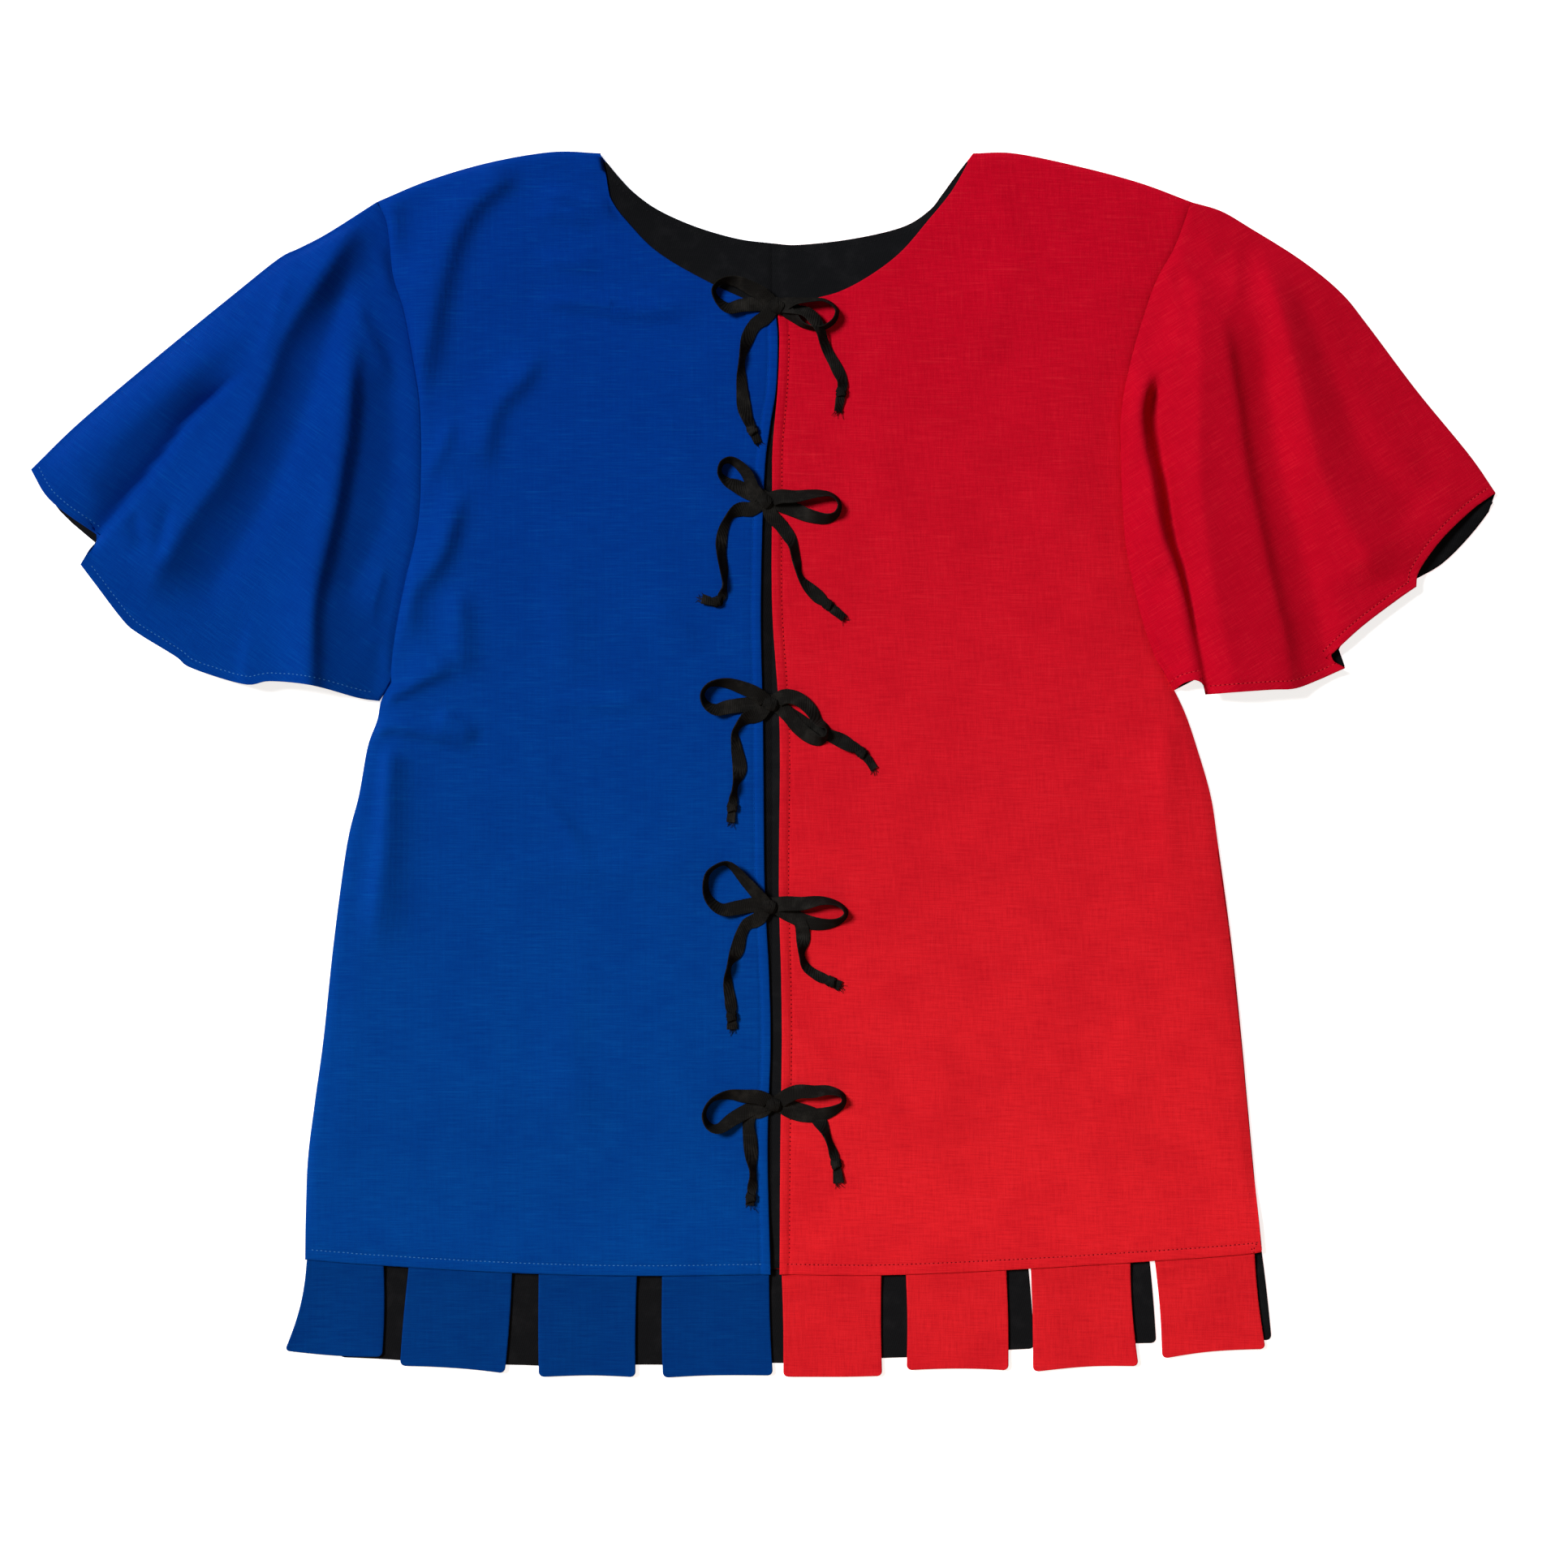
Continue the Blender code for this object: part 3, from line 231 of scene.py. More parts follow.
SLEEVE_FOLDS = (
    # Blue: the cloth by the overarm, which rolls down into the crease by the hem's corner
    Fold(6.5, 17, 26, 0.40, 0.10,
         ((-336, 300), (-372, 277), (-402, 253), (-429, 229), (-455, 200), (-470, 184)), 2.2),
    Fold(-13.0, 3, 11, 0.24, 0.00,
         ((-345, 268), (-354, 260), (-366, 251), (-384, 236), (-403, 211), (-423, 186), (-443, 163),
          (-457, 147)), 1.3),
    # The roll beside it, steep on its right
    Fold(14.0, 16, 50, 0.10, 0.14,
         ((-270, 372), (-284, 349), (-299, 325), (-313, 304), (-324, 284), (-332, 262), (-342, 238),
          (-354, 213), (-369, 188), (-386, 165), (-402, 138), (-422, 102)), 1.3),
    Fold(-4.5, 13, 18, 0.15, 0.12,
         ((-272, 345), (-284, 318), (-292, 295), (-300, 262), (-314, 227), (-329, 193), (-347, 161),
          (-366, 132), (-386, 100)), 1.8),
    Fold(1.6, 5, 7, 0.30, 0.30, ((-314, 346), (-320, 326), (-328, 300), (-336, 274), (-342, 262)), 1.6),
    # The roll beside the deep crease, and the slope beyond it
    Fold(9.5, 26, 36, 0.22, 0.00,
         ((-276, 318), (-279, 286), (-284, 250), (-290, 205), (-297, 165), (-303, 128), (-308, 96),
          (-310, 46)), 1.8),
    Fold(6.5, 6, 16, 0.20, 0.00,
         ((-273, 292), (-276, 262), (-279, 225), (-283, 200), (-287, 176), (-293, 150), (-299, 126),
          (-303, 102), (-304, 78), (-305, 48)), 1.8),
    Fold(3.4, 30, 9, 0.45, 0.00, ((-303, 134), (-301, 96), (-300, 34)), 1.3),
    Fold(-3.0, 12, 18, 0.25, 0.10,
         ((-258, 300), (-250, 262), (-248, 228), (-250, 194), (-256, 165), (-265, 146), (-276, 126),
          (-287, 104)), 1.7),
    # Its smaller ones
    Fold(2.6, 4, 12, 0.25, 0.30, ((-273, 318), (-270, 300), (-261, 281), (-254, 266), (-248, 252)), 1.4),
    Fold(1.8, 10, 8, 0.30, 0.30, ((-264, 354), (-256, 334), (-250, 312)), 1.6),
    Fold(-1.6, 5, 4, 0.25, 0.30, ((-260, 373), (-257, 362), (-254, 350)), 1.4),
    Fold(1.6, 5, 10, 0.20, 0.40, ((-256, 136), (-259, 122), (-263, 108), (-264, 90)), 1.4),
    Fold(-1.2, 9, 9, 0.20, 0.00, ((-262, 84), (-258, 66), (-258, 46)), 1.6),
    Fold(-4.4, 5, 9, 0.30, 0.30, ((-400, 180), (-401, 166), (-406, 148), (-412, 134)), 1.4),
    Fold(-3.6, 4, 7, 0.30, 0.30, ((-424, 172), (-421, 158), (-415, 140)), 1.4),
    Fold(2.2, 20, 5, 0.50, 0.00, ((-344, 104), (-347, 84), (-351, 50)), 1.6),
    Fold(-1.2, 10, 12, 0.40, 0.40, ((-440, 214), (-458, 196), (-474, 184))),
    # Red: the cloth by the seam, which drops into the deep crease
    Fold(10.5, 9, 22, 0.10, 0.00,
         ((265, 272), (257, 252), (254, 236), (255, 222), (257, 208), (260, 195), (262, 182), (265, 165),
          (269, 150), (275, 136), (280, 122), (285, 106), (289, 90), (294, 72), (300, 34)), 1.5),
    Fold(-11.0, 6, 6, 0.08, 0.00,
         ((268, 264), (265, 248), (265, 232), (268, 216), (271, 200), (274, 184), (276, 166), (279, 150),
          (283, 136), (286, 122), (289, 107), (292, 91), (296, 72), (303, 34)), 1.4),
    # The broad slope beyond it, with a steeper line along it
    Fold(12.0, 54, 26, 0.16, 0.00,
         ((288, 338), (292, 304), (293, 250), (293, 200), (297, 160), (303, 120), (310, 88),
          (322, 34)), 1.4),
    Fold(4.6, 7, 24, 0.14, 0.00,
         ((306, 308), (311, 288), (315, 264), (319, 240), (323, 212), (328, 186), (334, 158), (340, 130),
          (346, 104), (351, 82), (358, 34)), 1.6),
    Fold(-5.4, 13, 26, 0.20, 0.00,
         ((334, 314), (338, 286), (342, 252), (347, 218), (353, 186), (362, 152), (370, 116), (377, 84),
          (386, 34)), 1.8),
    # The one towards the overarm
    Fold(9.5, 30, 18, 0.22, 0.10,
         ((332, 360), (343, 324), (352, 292), (359, 262), (367, 227), (377, 192), (391, 166), (406, 141),
          (416, 118)), 1.5),
    Fold(-2.5, 13, 16, 0.25, 0.10,
         ((346, 346), (358, 325), (371, 295), (383, 265), (393, 240), (403, 215), (418, 194), (437, 174),
          (445, 158)), 1.8),
    # Its smaller ones
    Fold(2.4, 7, 14, 0.25, 0.20,
         ((269, 350), (275, 326), (279, 306), (280, 290), (278, 272), (273, 258)), 1.5),
    Fold(2.2, 10, 12, 0.25, 0.25, ((280, 352), (284, 338), (291, 322), (297, 304)), 1.6),
    Fold(1.5, 5, 12, 0.25, 0.30, ((320, 356), (320, 338), (320, 320), (318, 302)), 1.6),
    Fold(1.2, 7, 8, 0.30, 0.30, ((296, 364), (302, 352), (310, 340)), 1.6),
    Fold(2.4, 11, 8, 0.30, 0.30, ((256, 264), (250, 246), (249, 230), (250, 212), (253, 198)), 1.6),
    Fold(2.4, 12, 8, 0.30, 0.20, ((250, 174), (254, 158), (262, 140), (270, 126)), 1.6),
    Fold(-1.2, 14, 14, 0.40, 0.30, ((440, 226), (448, 204), (458, 178))),
)
PANEL_FOLDS = (
    # The blue front: the long crease beside its armhole, and the two that go on from it
    Fold(8.6, 10, 36, 0.12, 0.22,
         ((-162, 402), (-178, 392), (-191, 382), (-202, 368), (-210, 352), (-216, 333), (-221, 313),
          (-225, 296), (-229, 276), (-232, 256), (-235, 238)), 1.7),
    Fold(5.2, 8, 22, 0.25, 0.25,
         ((-151, 284), (-154, 272), (-160, 263), (-167, 255), (-177, 245), (-184, 232), (-188, 214),
          (-191, 194)), 1.7),
    Fold(6.8, 9, 22, 0.30, 0.22,
         ((-200, 192), (-205, 178), (-210, 163), (-214, 150), (-219, 139), (-227, 129), (-235, 119),
          (-239, 108), (-240, 92), (-242, 78)), 1.7),
    Fold(5.2, 12, 16, 0.30, 0.30, ((-207, 124), (-205, 100), (-205, 80), (-207, 54)), 1.7),
    # Those at its waist, pulled in by the seam
    Fold(5.6, 14, 5, 0.10, 0.30, ((-257, 43), (-246, 48), (-233, 55), (-221, 61), (-206, 65)), 1.5),
    Fold(4.6, 4, 9, 0.25, 0.25, ((-221, 37), (-212, 31), (-202, 25), (-192, 18)), 1.4),
    Fold(5.4, 12, 5, 0.08, 0.40,
         ((-264, 21), (-252, 25), (-240, 24), (-225, 21), (-210, 17), (-197, 12)), 1.5),
    Fold(7.2, 17, 9, 0.08, 0.35, ((-253, 14), (-254, -18), (-256, -56), (-260, -90), (-262, -136)), 1.6),
    # Its smaller ones
    Fold(4.2, 9, 10, 0.25, 0.30, ((-250, 386), (-251, 367), (-254, 346)), 1.7),
    Fold(3.0, 6, 10, 0.30, 0.30, ((-210, 236), (-214, 220), (-222, 204), (-228, 190)), 1.5),
    Fold(5.0, 9, 4, 0.30, 0.35, ((-158, 384), (-138, 384), (-120, 379), (-106, 371), (-96, 361)), 1.7),
    Fold(4.0, 8, 4, 0.30, 0.35, ((-156, 374), (-132, 371), (-114, 362)), 1.7),
    Fold(4.6, 9, 4.5, 0.25, 0.35, ((-160, 313), (-120, 311), (-80, 306), (-34, 309)), 1.7),
    Fold(3.2, 8, 5, 0.35, 0.40, ((-154, 343), (-130, 339), (-106, 337)), 1.7),
    Fold(2.6, 9, 6, 0.40, 0.40, ((-152, 45), (-110, 41), (-66, 43)), 1.7),
    Fold(2.2, 6, 9, 0.30, 0.40, ((-196, 6), (-170, -10), (-146, -26), (-128, -50), (-112, -84)), 1.7),
    Fold(1.6, 8, 10, 0.40, 0.40, ((-40, 78), (-60, 96), (-84, 110)), 1.5),
    Fold(1.9, 16, 14, 0.40, 0.40, ((-190, -60), (-120, -72), (-20, -70))),
    Fold(1.6, 18, 14, 0.40, 0.40, ((-140, 150), (-134, 90), (-140, 40))),
    Fold(1.9, 22, 22, 0.40, 0.40, ((-240, -190), (-150, -220), (-60, -214))),
    Fold(1.6, 16, 24, 0.40, 0.40, ((-120, -120), (-130, -200), (-112, -290))),
    # The red front, nearly flat
    Fold(2.2, 12, 14, 0.20, 0.40, ((280, 44), (272, 4), (274, -56), (280, -120)), 1.5),
    Fold(1.8, 5, 9, 0.10, 0.40, ((284, 44), (270, 49), (254, 50)), 1.4),
    Fold(1.4, 9, 14, 0.30, 0.40, ((148, 400), (164, 378), (172, 350)), 1.6),
    Fold(1.1, 16, 24, 0.40, 0.40, ((190, 390), (160, 320), (140, 240))),
    Fold(1.1, 14, 20, 0.40, 0.40, ((236, 250), (206, 190), (190, 110))),
    Fold(1.0, 14, 20, 0.40, 0.40, ((66, 250), (92, 160), (88, 60))),
    Fold(1.1, 20, 18, 0.40, 0.40, ((40, -40), (130, -70), (240, -52))),
    Fold(1.0, 16, 22, 0.40, 0.40, ((110, -140), (122, -230), (104, -310))),
    Fold(1.0, 14, 18, 0.40, 0.40, ((256, -140), (246, -220), (258, -300))),
)
# Shallow creases of the backs, pressed up from below
BACK_CREASES = (
    Fold(-0.7, 9, 12, 0.30, 0.40, ((-230, 330), (-190, 270), (-170, 180))),
    Fold(-0.6, 12, 8, 0.30, 0.40, ((-262, 20), (-200, 8), (-130, 20))),
    Fold(-0.6, 10, 10, 0.40, 0.40, ((-40, 180), (-70, 60), (-60, -60))),
    Fold(-0.7, 14, 10, 0.40, 0.40, ((-250, -120), (-160, -170), (-70, -160))),
    Fold(-0.7, 9, 12, 0.30, 0.40, ((255, 320), (210, 260), (190, 170))),
    Fold(-0.6, 12, 8, 0.30, 0.40, ((280, 24), (220, 0), (150, 16))),
    Fold(-0.6, 10, 10, 0.40, 0.40, ((60, 120), (90, 0), (70, -110))),
    Fold(-0.7, 14, 10, 0.40, 0.40, ((270, -160), (190, -210), (90, -190))),
)

# The two halves: 1 or -1 by which way their lines turn, how high the front and the sleeve
# puff up, how far from the overarm the sleeve has risen, and their outlines

Side = namedtuple("Side", "name turn puff loft overarm_rise shoulder neck_front neck_back centre "
                          "hem armhole side overarm underarm hem_front hem_back")

SIDES = (
    Side("blue", 1, 2.6, 7.0, 30, SHOULDER_BLUE, NECK_FRONT_BLUE, NECK_BACK_BLUE, CENTRE_BLUE,
         HEM_BLUE, ARMHOLE_BLUE, SIDE_BLUE, OVERARM_BLUE, UNDERARM_BLUE, HEM_FRONT_BLUE, HEM_BACK_BLUE),
    Side("red", -1, 2.2, 7.0, 60, SHOULDER_RED, NECK_FRONT_RED, NECK_BACK_RED, CENTRE_RED,
         HEM_RED, ARMHOLE_RED, SIDE_RED, OVERARM_RED, UNDERARM_RED, HEM_FRONT_RED, HEM_BACK_RED),
)

# Front dags: where each meets the hem, where its lower corners are, and how far its
# left side, lower edge and right side bow outwards

Dag = namedtuple("Dag", "top_left top_right low_left low_right left_bow low_bow right_bow")

FRONT_DAGS = {
    "blue": (
        Dag((-309, -335), (-257, -338), (-324, -397), (-258, -401), -3.0, 1.2, 1.0),
        Dag((-240, -340), (-170, -344), (-246, -407), (-175, -412), 0.5, -1.0, 0.6),
        Dag((-152, -345), (-85.5, -346), (-152, -414.5), (-86.5, -414.5), 0.4, -0.8, -0.5),
        Dag((-68.5, -346), (4, -345), (-68, -415), (6.5, -413.5), 0.6, -0.7, -0.6),
    ),
    "red": (
        Dag((12.5, -346), (80, -345), (13.5, -414.5), (80.5, -414), -0.5, 0.4, -0.5),
        Dag((96.5, -344), (164.5, -342), (97, -410), (166, -410), -0.8, -1.0, 0.6),
        Dag((181, -341), (248.5, -337), (182.5, -411), (254, -407), -0.6, -1.2, -1.2),
        Dag((265, -336), (332.5, -331), (270, -402), (340, -395.5), -1.0, -1.4, -1.0),
    ),
}

# Back dags hang at one pitch, and fan out a little towards the sides
BACK_DAGS = 8
BACK_DAG_WIDTH = 69.0
BACK_DAG_PITCH_TOP = 78.8
BACK_DAG_PITCH_LOW = 80.4
BACK_DAG_FIRST_TOP = 337.0
BACK_DAG_FIRST_LOW = 344.5
BACK_DAGS_BLUE_FROM = 5
BACK_DAG_BOWS = (0.3, -0.5, 0.4)
SECOND_ASKEW_TOP = 3.3
SECOND_ASKEW_LOW = 2.2
BACK_HEM_LOW = ((-324, -399), (-250, -404), (-170, -408), (-85, -407), (10, -406), (95, -402),
                (180, -396), (265, -392), (345, -390))

# Tapes: their width and thickness, how their tails narrow, twist and roll, and how they
# narrow and thicken at the knots near their ends
TAPE = 10.0
TAPE_THICK = 0.9
TAPE_STEP = 1.6
TAIL_NARROWS = 2.6
TAIL_TWIST = 7.5
TAIL_ROLL = 26.0
TAIL_FADE = 20.0
TAIL_END_NARROWS = 2.0
ROLL_MORE = 1.24
TAPE_SINKS = 0.35
END_KNOT_WIDTH = 4.6
END_KNOT_LENGTH = 9.0
END_KNOT_TIGHT = 0.6
END_KNOT_THICKER = 1.6
TAIL_END_THICKER = 0.3
TAPE_SECTION = ((-1, -0.35), (-0.93, -1), (0, -1), (0.93, -1), (1, -0.35),
                (1, 0.35), (0.93, 1), (0, 1), (-0.93, 1), (-1, 0.35))

# Knots: tapes wound round an axis. Each winding has its radius across and up, its width
# and thickness, the angles where it starts and ends, and how far it leans.
KNOT_HEIGHT = 3.1
KNOT_LEANS = (-28, -35, -20, -24, -12)
KNOT_CROSSES = 0.9
KNOT_WINDING = (4.2, 2.4, 6.4, 0.8, (0, 360), 1.0)
KNOT_CROSSING = (4.0, 2.3, 4.4, 0.8, (-20, 200), -1.2)
KNOT_CORE = (3.2, 1.8, 10.0, 0.9)
WINDING_STEPS = 26
WINDING_SECTION = ((-1, -0.4), (-0.9, -1), (0.9, -1), (1, -0.4), (1, 0.4), (0.9, 1), (0, 1.15),
                   (-0.9, 1), (-1, 0.4))

# The knots near the tapes' ends: rows of shift along the tape, tilt, lean, width and radius
END_KNOT_ROWS = ((-1.7, -0.3, 0.9, 3.4, 3.0), (1.8, 0.35, -1.0, 3.2, 2.8), (0.1, -0.3, 0.2, 2.6, 3.3))
END_KNOT_HEIGHT = 2.4
END_KNOT_RADIUS_UP = 2.1
END_KNOT_THICK = 0.9

# The threads that fray beyond them
FRAYS = 9
FRAY_LENGTH = (2.5, 6.5)
FRAY_CURL = 0.5
FRAY_SPREAD = 2.6
FRAY_STARTS_IN = 1.5
FRAY_POINTS = 7
FRAY_RADII = (0.24, 0.12)

# Where faces meet at more than this many degrees, the edge between them is sharp
SHARP_FLAT = 50
SHARP_TAPE = 28
SHARP_KNOT = 60

# Stitches: half the length, width and height of a needle hole, how far stitches stand out
# and stray, and the beads that they are made of. A needle hole is a dark bead: painted shade.
NEEDLE_HOLE = (0.50, 0.48, 0.18)
NEEDLE_HOLE_SUNK = 0.02
STITCH_STANDS = 0.4
STITCH_STRAYS = 0.06
STITCH_TURNS = 0.05
STITCH_LENGTHS = (0.88, 1.08)
BEAD_SIDES = 6
BEAD_RINGS = ((-0.72, 0.72), (0, 1), (0.72, 0.72))

# Ties. Rows of dx and dy from the bow's knot, the tape's lift off the cloth, and its
# roll in degrees. Each bow is two tapes: one makes the left loop and the right tail. Its
# last two numbers say how far along the tails their knots are.

Bow = namedtuple("Bow", "x y left_loop right_loop left_tail right_tail left_knot right_knot")

BOWS = (
    Bow(9.5, 309.5,
        ((-10, 8, 4.0, 12), (-17, 12, 3.6, 20), (-28, 17, 2.0, 40), (-38, 17, 0.6, 60), (-43, 11, 0.5, 62),
         (-40, 4, 0.5, 50), (-33, -1, 0.5, 30), (-24, 1, 0.5, 15), (-13, 2, 0.5, 5)),
        ((10.5, 3, 2.4, 40), (20, 4, 1.8, 54), (32, 4, 0.8, 60), (40, -2, 0.5, 62), (38, -10, 0.5, 62),
         (29, -15, 0.5, 64), (18, -13, 0.5, 62), (10, -6.5, 0.5, 40)),
        ((-8, -7, 0.5, 5), (-15, -12, 0.5, 10), (-20, -21, 0.5, 35), (-24, -37, 0.5, 30), (-24, -54, 0.5, 15),
         (-22, -70, 0.5, 25), (-18, -81, 0.5, 20), (-13, -92, 0.5, 5)),
        ((12, -2, 2.6, 35), (21, -5, 5.0, 35), (28, -14, 5.4, 25), (33, -28, 1.2, 10), (40, -41, 0.5, 30),
         (44, -51, 0.5, 50), (43, -59, 0.5, 20), (41, -71, 0.5, 5)),
        0.90, 0.84),
    Bow(1.5, 178,
        ((-8, 8, 0.5, 25), (-13, 19, 0.5, 35), (-22, 27, 0.5, 50), (-29, 26, 0.5, 62), (-31, 19, 0.5, 60),
         (-26, 13, 0.5, 40), (-19, 10, 0.5, 15), (-11.5, 6, 0.5, 0)),
        ((10, 3, 3.8, 10), (20, 3, 3.0, 25), (35, 5, 1.0, 45), (45, 4, 0.5, 60), (50, -2, 0.5, 62),
         (48, -9, 0.5, 55), (41, -12, 0.5, 40), (30, -10, 0.5, 25), (20, -6, 0.5, 5), (12, -3, 0.5, 0)),
        ((-9, -5, 0.5, 0), (-17, -5.5, 0.5, 5), (-24, -10, 0.5, 25), (-29, -21, 0.5, 30), (-30, -34, 0.5, 55),
         (-28, -48, 0.5, 30), (-28, -60, 0.5, 40), (-33, -68, 0.5, 5), (-43, -66, 0.5, 0)),
        ((4, -9.5, 0.5, 10), (11, -17, 0.5, 15), (18, -28, 0.5, 40), (21, -41, 0.5, 20), (24, -52, 0.5, 45),
         (33, -62, 0.5, 20), (42, -70, 0.5, 10), (53, -79, 0.5, 5)),
        0.88, 0.84),
    Bow(5, 41,
        ((-9, 6, 3.8, 10), (-17, 10, 3.0, 20), (-30, 14, 1.0, 40), (-41, 13, 0.5, 60), (-46, 7, 0.5, 62),
         (-44, 0, 0.5, 50), (-37, -4, 0.5, 30), (-28, -2, 0.5, 12), (-12, 0, 0.5, 0)),
        ((9.5, 5, 3.6, 5), (19, 3, 3.0, 15), (27, -4, 1.6, 25), (32, -12, 0.6, 40), (38, -16, 0.5, 60),
         (38, -22, 0.5, 60), (33, -25, 0.5, 40), (26, -22, 0.5, 20), (18, -15, 0.5, 5), (11.5, -7, 0.5, 0)),
        ((-8, -7, 0.5, 5), (-17, -10, 0.5, 20), (-24, -19, 0.5, 35), (-23, -30, 0.5, 30), (-21, -44, 0.5, 20),
         (-24, -56, 0.5, 35), (-26, -70, 0.5, 15), (-27, -80, 0.5, 5)),
        ((14, -8, 0.3, 0), (30, -17, 0.3, 0), (46, -24, 0.5, 10), (53, -28, 0.5, 15), (59, -31, 0.5, 10),
         (66, -38, 0.5, 5), (70, -44, 0.5, 0)),
        0.88, 0.80),
    Bow(4, -96,
        ((-8, 8, 0.5, 25), (-16, 17, 0.5, 35), (-25, 27, 0.5, 50), (-32, 29, 0.5, 62), (-41, 23, 0.5, 60),
         (-43, 13, 0.5, 55), (-40, 4, 0.5, 45), (-32, -2, 0.5, 30), (-22, -1, 0.5, 12), (-11, 1, 0.5, 0)),
        ((10.5, 2, 3.8, 5), (22, 2, 3.0, 20), (35, 4, 1.0, 45), (46, 2, 0.5, 60), (52, -4, 0.5, 60),
         (47, -10, 0.5, 50), (36, -12, 0.5, 30), (24, -10, 0.5, 10), (12.5, -5, 0.5, 0)),
        ((-7, -8, 0.5, 5), (-15, -12, 0.5, 20), (-19, -19, 0.5, 35), (-22, -30, 0.5, 25), (-27, -40, 0.5, 40),
         (-28, -52, 0.5, 20), (-26, -66, 0.5, 35), (-25, -83, 0.5, 5)),
        ((12, -4, 0.3, 0), (20, -9, 0.3, 0), (23, -20, 0.5, 15), (22, -32, 0.5, 35), (25, -41, 0.5, 20),
         (33, -47, 0.5, 30), (40, -50, 0.5, 15), (48, -54, 0.5, 5)),
        0.90, 0.90),
    Bow(7, -230,
        ((-9, 5, 3.8, 8), (-20, 6, 3.0, 20), (-31, 7, 1.4, 40), (-42, 3, 0.5, 60), (-47, -6, 0.5, 62),
         (-44, -14, 0.5, 55), (-37, -16, 0.5, 40), (-28, -10, 0.5, 20), (-19, -5, 0.5, 5), (-12, -2, 0.5, 0)),
        ((9, 6, 3.8, 5), (17, 9, 3.0, 15), (27, 9, 2.0, 30), (37, 10, 0.8, 45), (46, 7, 0.5, 60),
         (47, 1, 0.5, 55), (40, -4, 0.5, 35), (30, -7, 0.5, 15), (20, -7, 0.5, 5), (11.5, -4.5, 0.5, 0)),
        ((-8, -4, 0.3, 0), (-15, -6, 0.3, 0), (-17, -14, 0.5, 10), (-16, -24, 0.5, 25), (-15, -36, 0.5, 15),
         (-14, -49, 0.5, 30), (-16, -68, 0.5, 5)),
        ((14, -3, 0.3, 0), (26, -6, 0.3, 0), (33, -14, 0.5, 25), (38, -26, 0.5, 30), (41, -35, 0.5, 20),
         (43, -44, 0.5, 20), (44, -53, 0.5, 5)),
        0.93, 0.80),
)


# Curves in the plane

def smooth_curve(route, steps=12):
    """A dense Catmull-Rom curve through the route's points."""
    points = np.array(route, float)
    if len(points) == 2:
        return points
    ends = (2 * points[0] - points[1], 2 * points[-1] - points[-2])
    p = np.vstack([ends[0], points, ends[1]])
    t = np.linspace(0, 1, steps, endpoint=False)[:, None]
    runs = []
    for a, b, c, d in zip(p, p[1:], p[2:], p[3:]):
        runs.append(0.5 * (2 * b + (c - a) * t + (2 * a - 5 * b + 4 * c - d) * t**2
                           + (3 * b - a - 3 * c + d) * t**3))
    return np.vstack(runs + [points[-1:]])


def lengths_along(curve):
    steps = np.linalg.norm(np.diff(curve[:, :3], axis=0), axis=1)
    return np.concatenate([[0], np.cumsum(steps)])


def at_shares(curve, shares):
    """Points of the curve at the given shares of its length."""
    run = lengths_along(curve[:, :2])
    return np.column_stack([np.interp(np.asarray(shares) * run[-1], run, column) for column in curve.T])


def divided(curve, pieces, start=0.0, end=1.0):
    """Points that divide the curve, between two shares of its length, into equal pieces."""
    return at_shares(curve, np.linspace(start, end, pieces + 1))


def shares_of(points):
    run = lengths_along(points)
    return run / run[-1]


def with_lines(shares, length, near_start, near_end):
    """The shares with more added beside the ends, at distances from them."""
    first, last = max(near_start, default=0), max(near_end, default=0)
    inner = [share for share in shares[1:-1] if first < share * length and last < (1 - share) * length]
    added = [d / length for d in near_start] + [1 - d / length for d in near_end]
    return np.array(sorted([0.0, *inner, *added, 1.0]))


def unit(vectors):
    """The vectors at length 1."""
    return vectors / np.linalg.norm(vectors, axis=-1, keepdims=True)


def shifted(line, distance):
    """The line moved sideways, to the left of its direction where distance is positive."""
    along = unit(np.gradient(line, axis=0))
    return line + distance * np.column_stack([-along[:, 1], along[:, 0]])


def inset(outline, distances):
    """The outline with each edge moved inwards by its own distance. It runs anticlockwise."""
    edge = unit(np.roll(outline, -1, axis=0) - outline)
    inward = np.column_stack([-edge[:, 1], edge[:, 0]])
    moved = []
    for i in range(len(outline)):
        a, b = inward[i - 1], inward[i]
        da, db = distances[i - 1], distances[i]
        turn = a[0] * b[1] - a[1] * b[0]
        if abs(turn) < LEAST_TURN:
            moved.append(outline[i] + (a + b) / 2 * (da + db) / 2)
        else:
            moved.append(outline[i] + np.array([da * b[1] - db * a[1], db * a[0] - da * b[0]]) / turn)
    return np.array(moved)


def patch(left, right, top, bottom):
    """A grid of points bounded by four lines: rows run from left to right, and start at the top."""
    u = ((shares_of(top) + shares_of(bottom)) / 2)[None, :, None]
    v = ((shares_of(left) + shares_of(right)) / 2)[:, None, None]
    across = (1 - v) * top[None] + v * bottom[None]
    down = (1 - u) * left[:, None] + u * right[:, None]
    corners = ((1 - u) * (1 - v) * top[0] + u * (1 - v) * top[-1]
               + (1 - u) * v * bottom[0] + u * v * bottom[-1])
    return across + down - corners


def towards(a, b, distance):
    return a + unit(b - a) * distance


# Heights

def smooth_step(x):
    x = np.clip(x, 0, 1)
    return x * x * (3 - 2 * x)


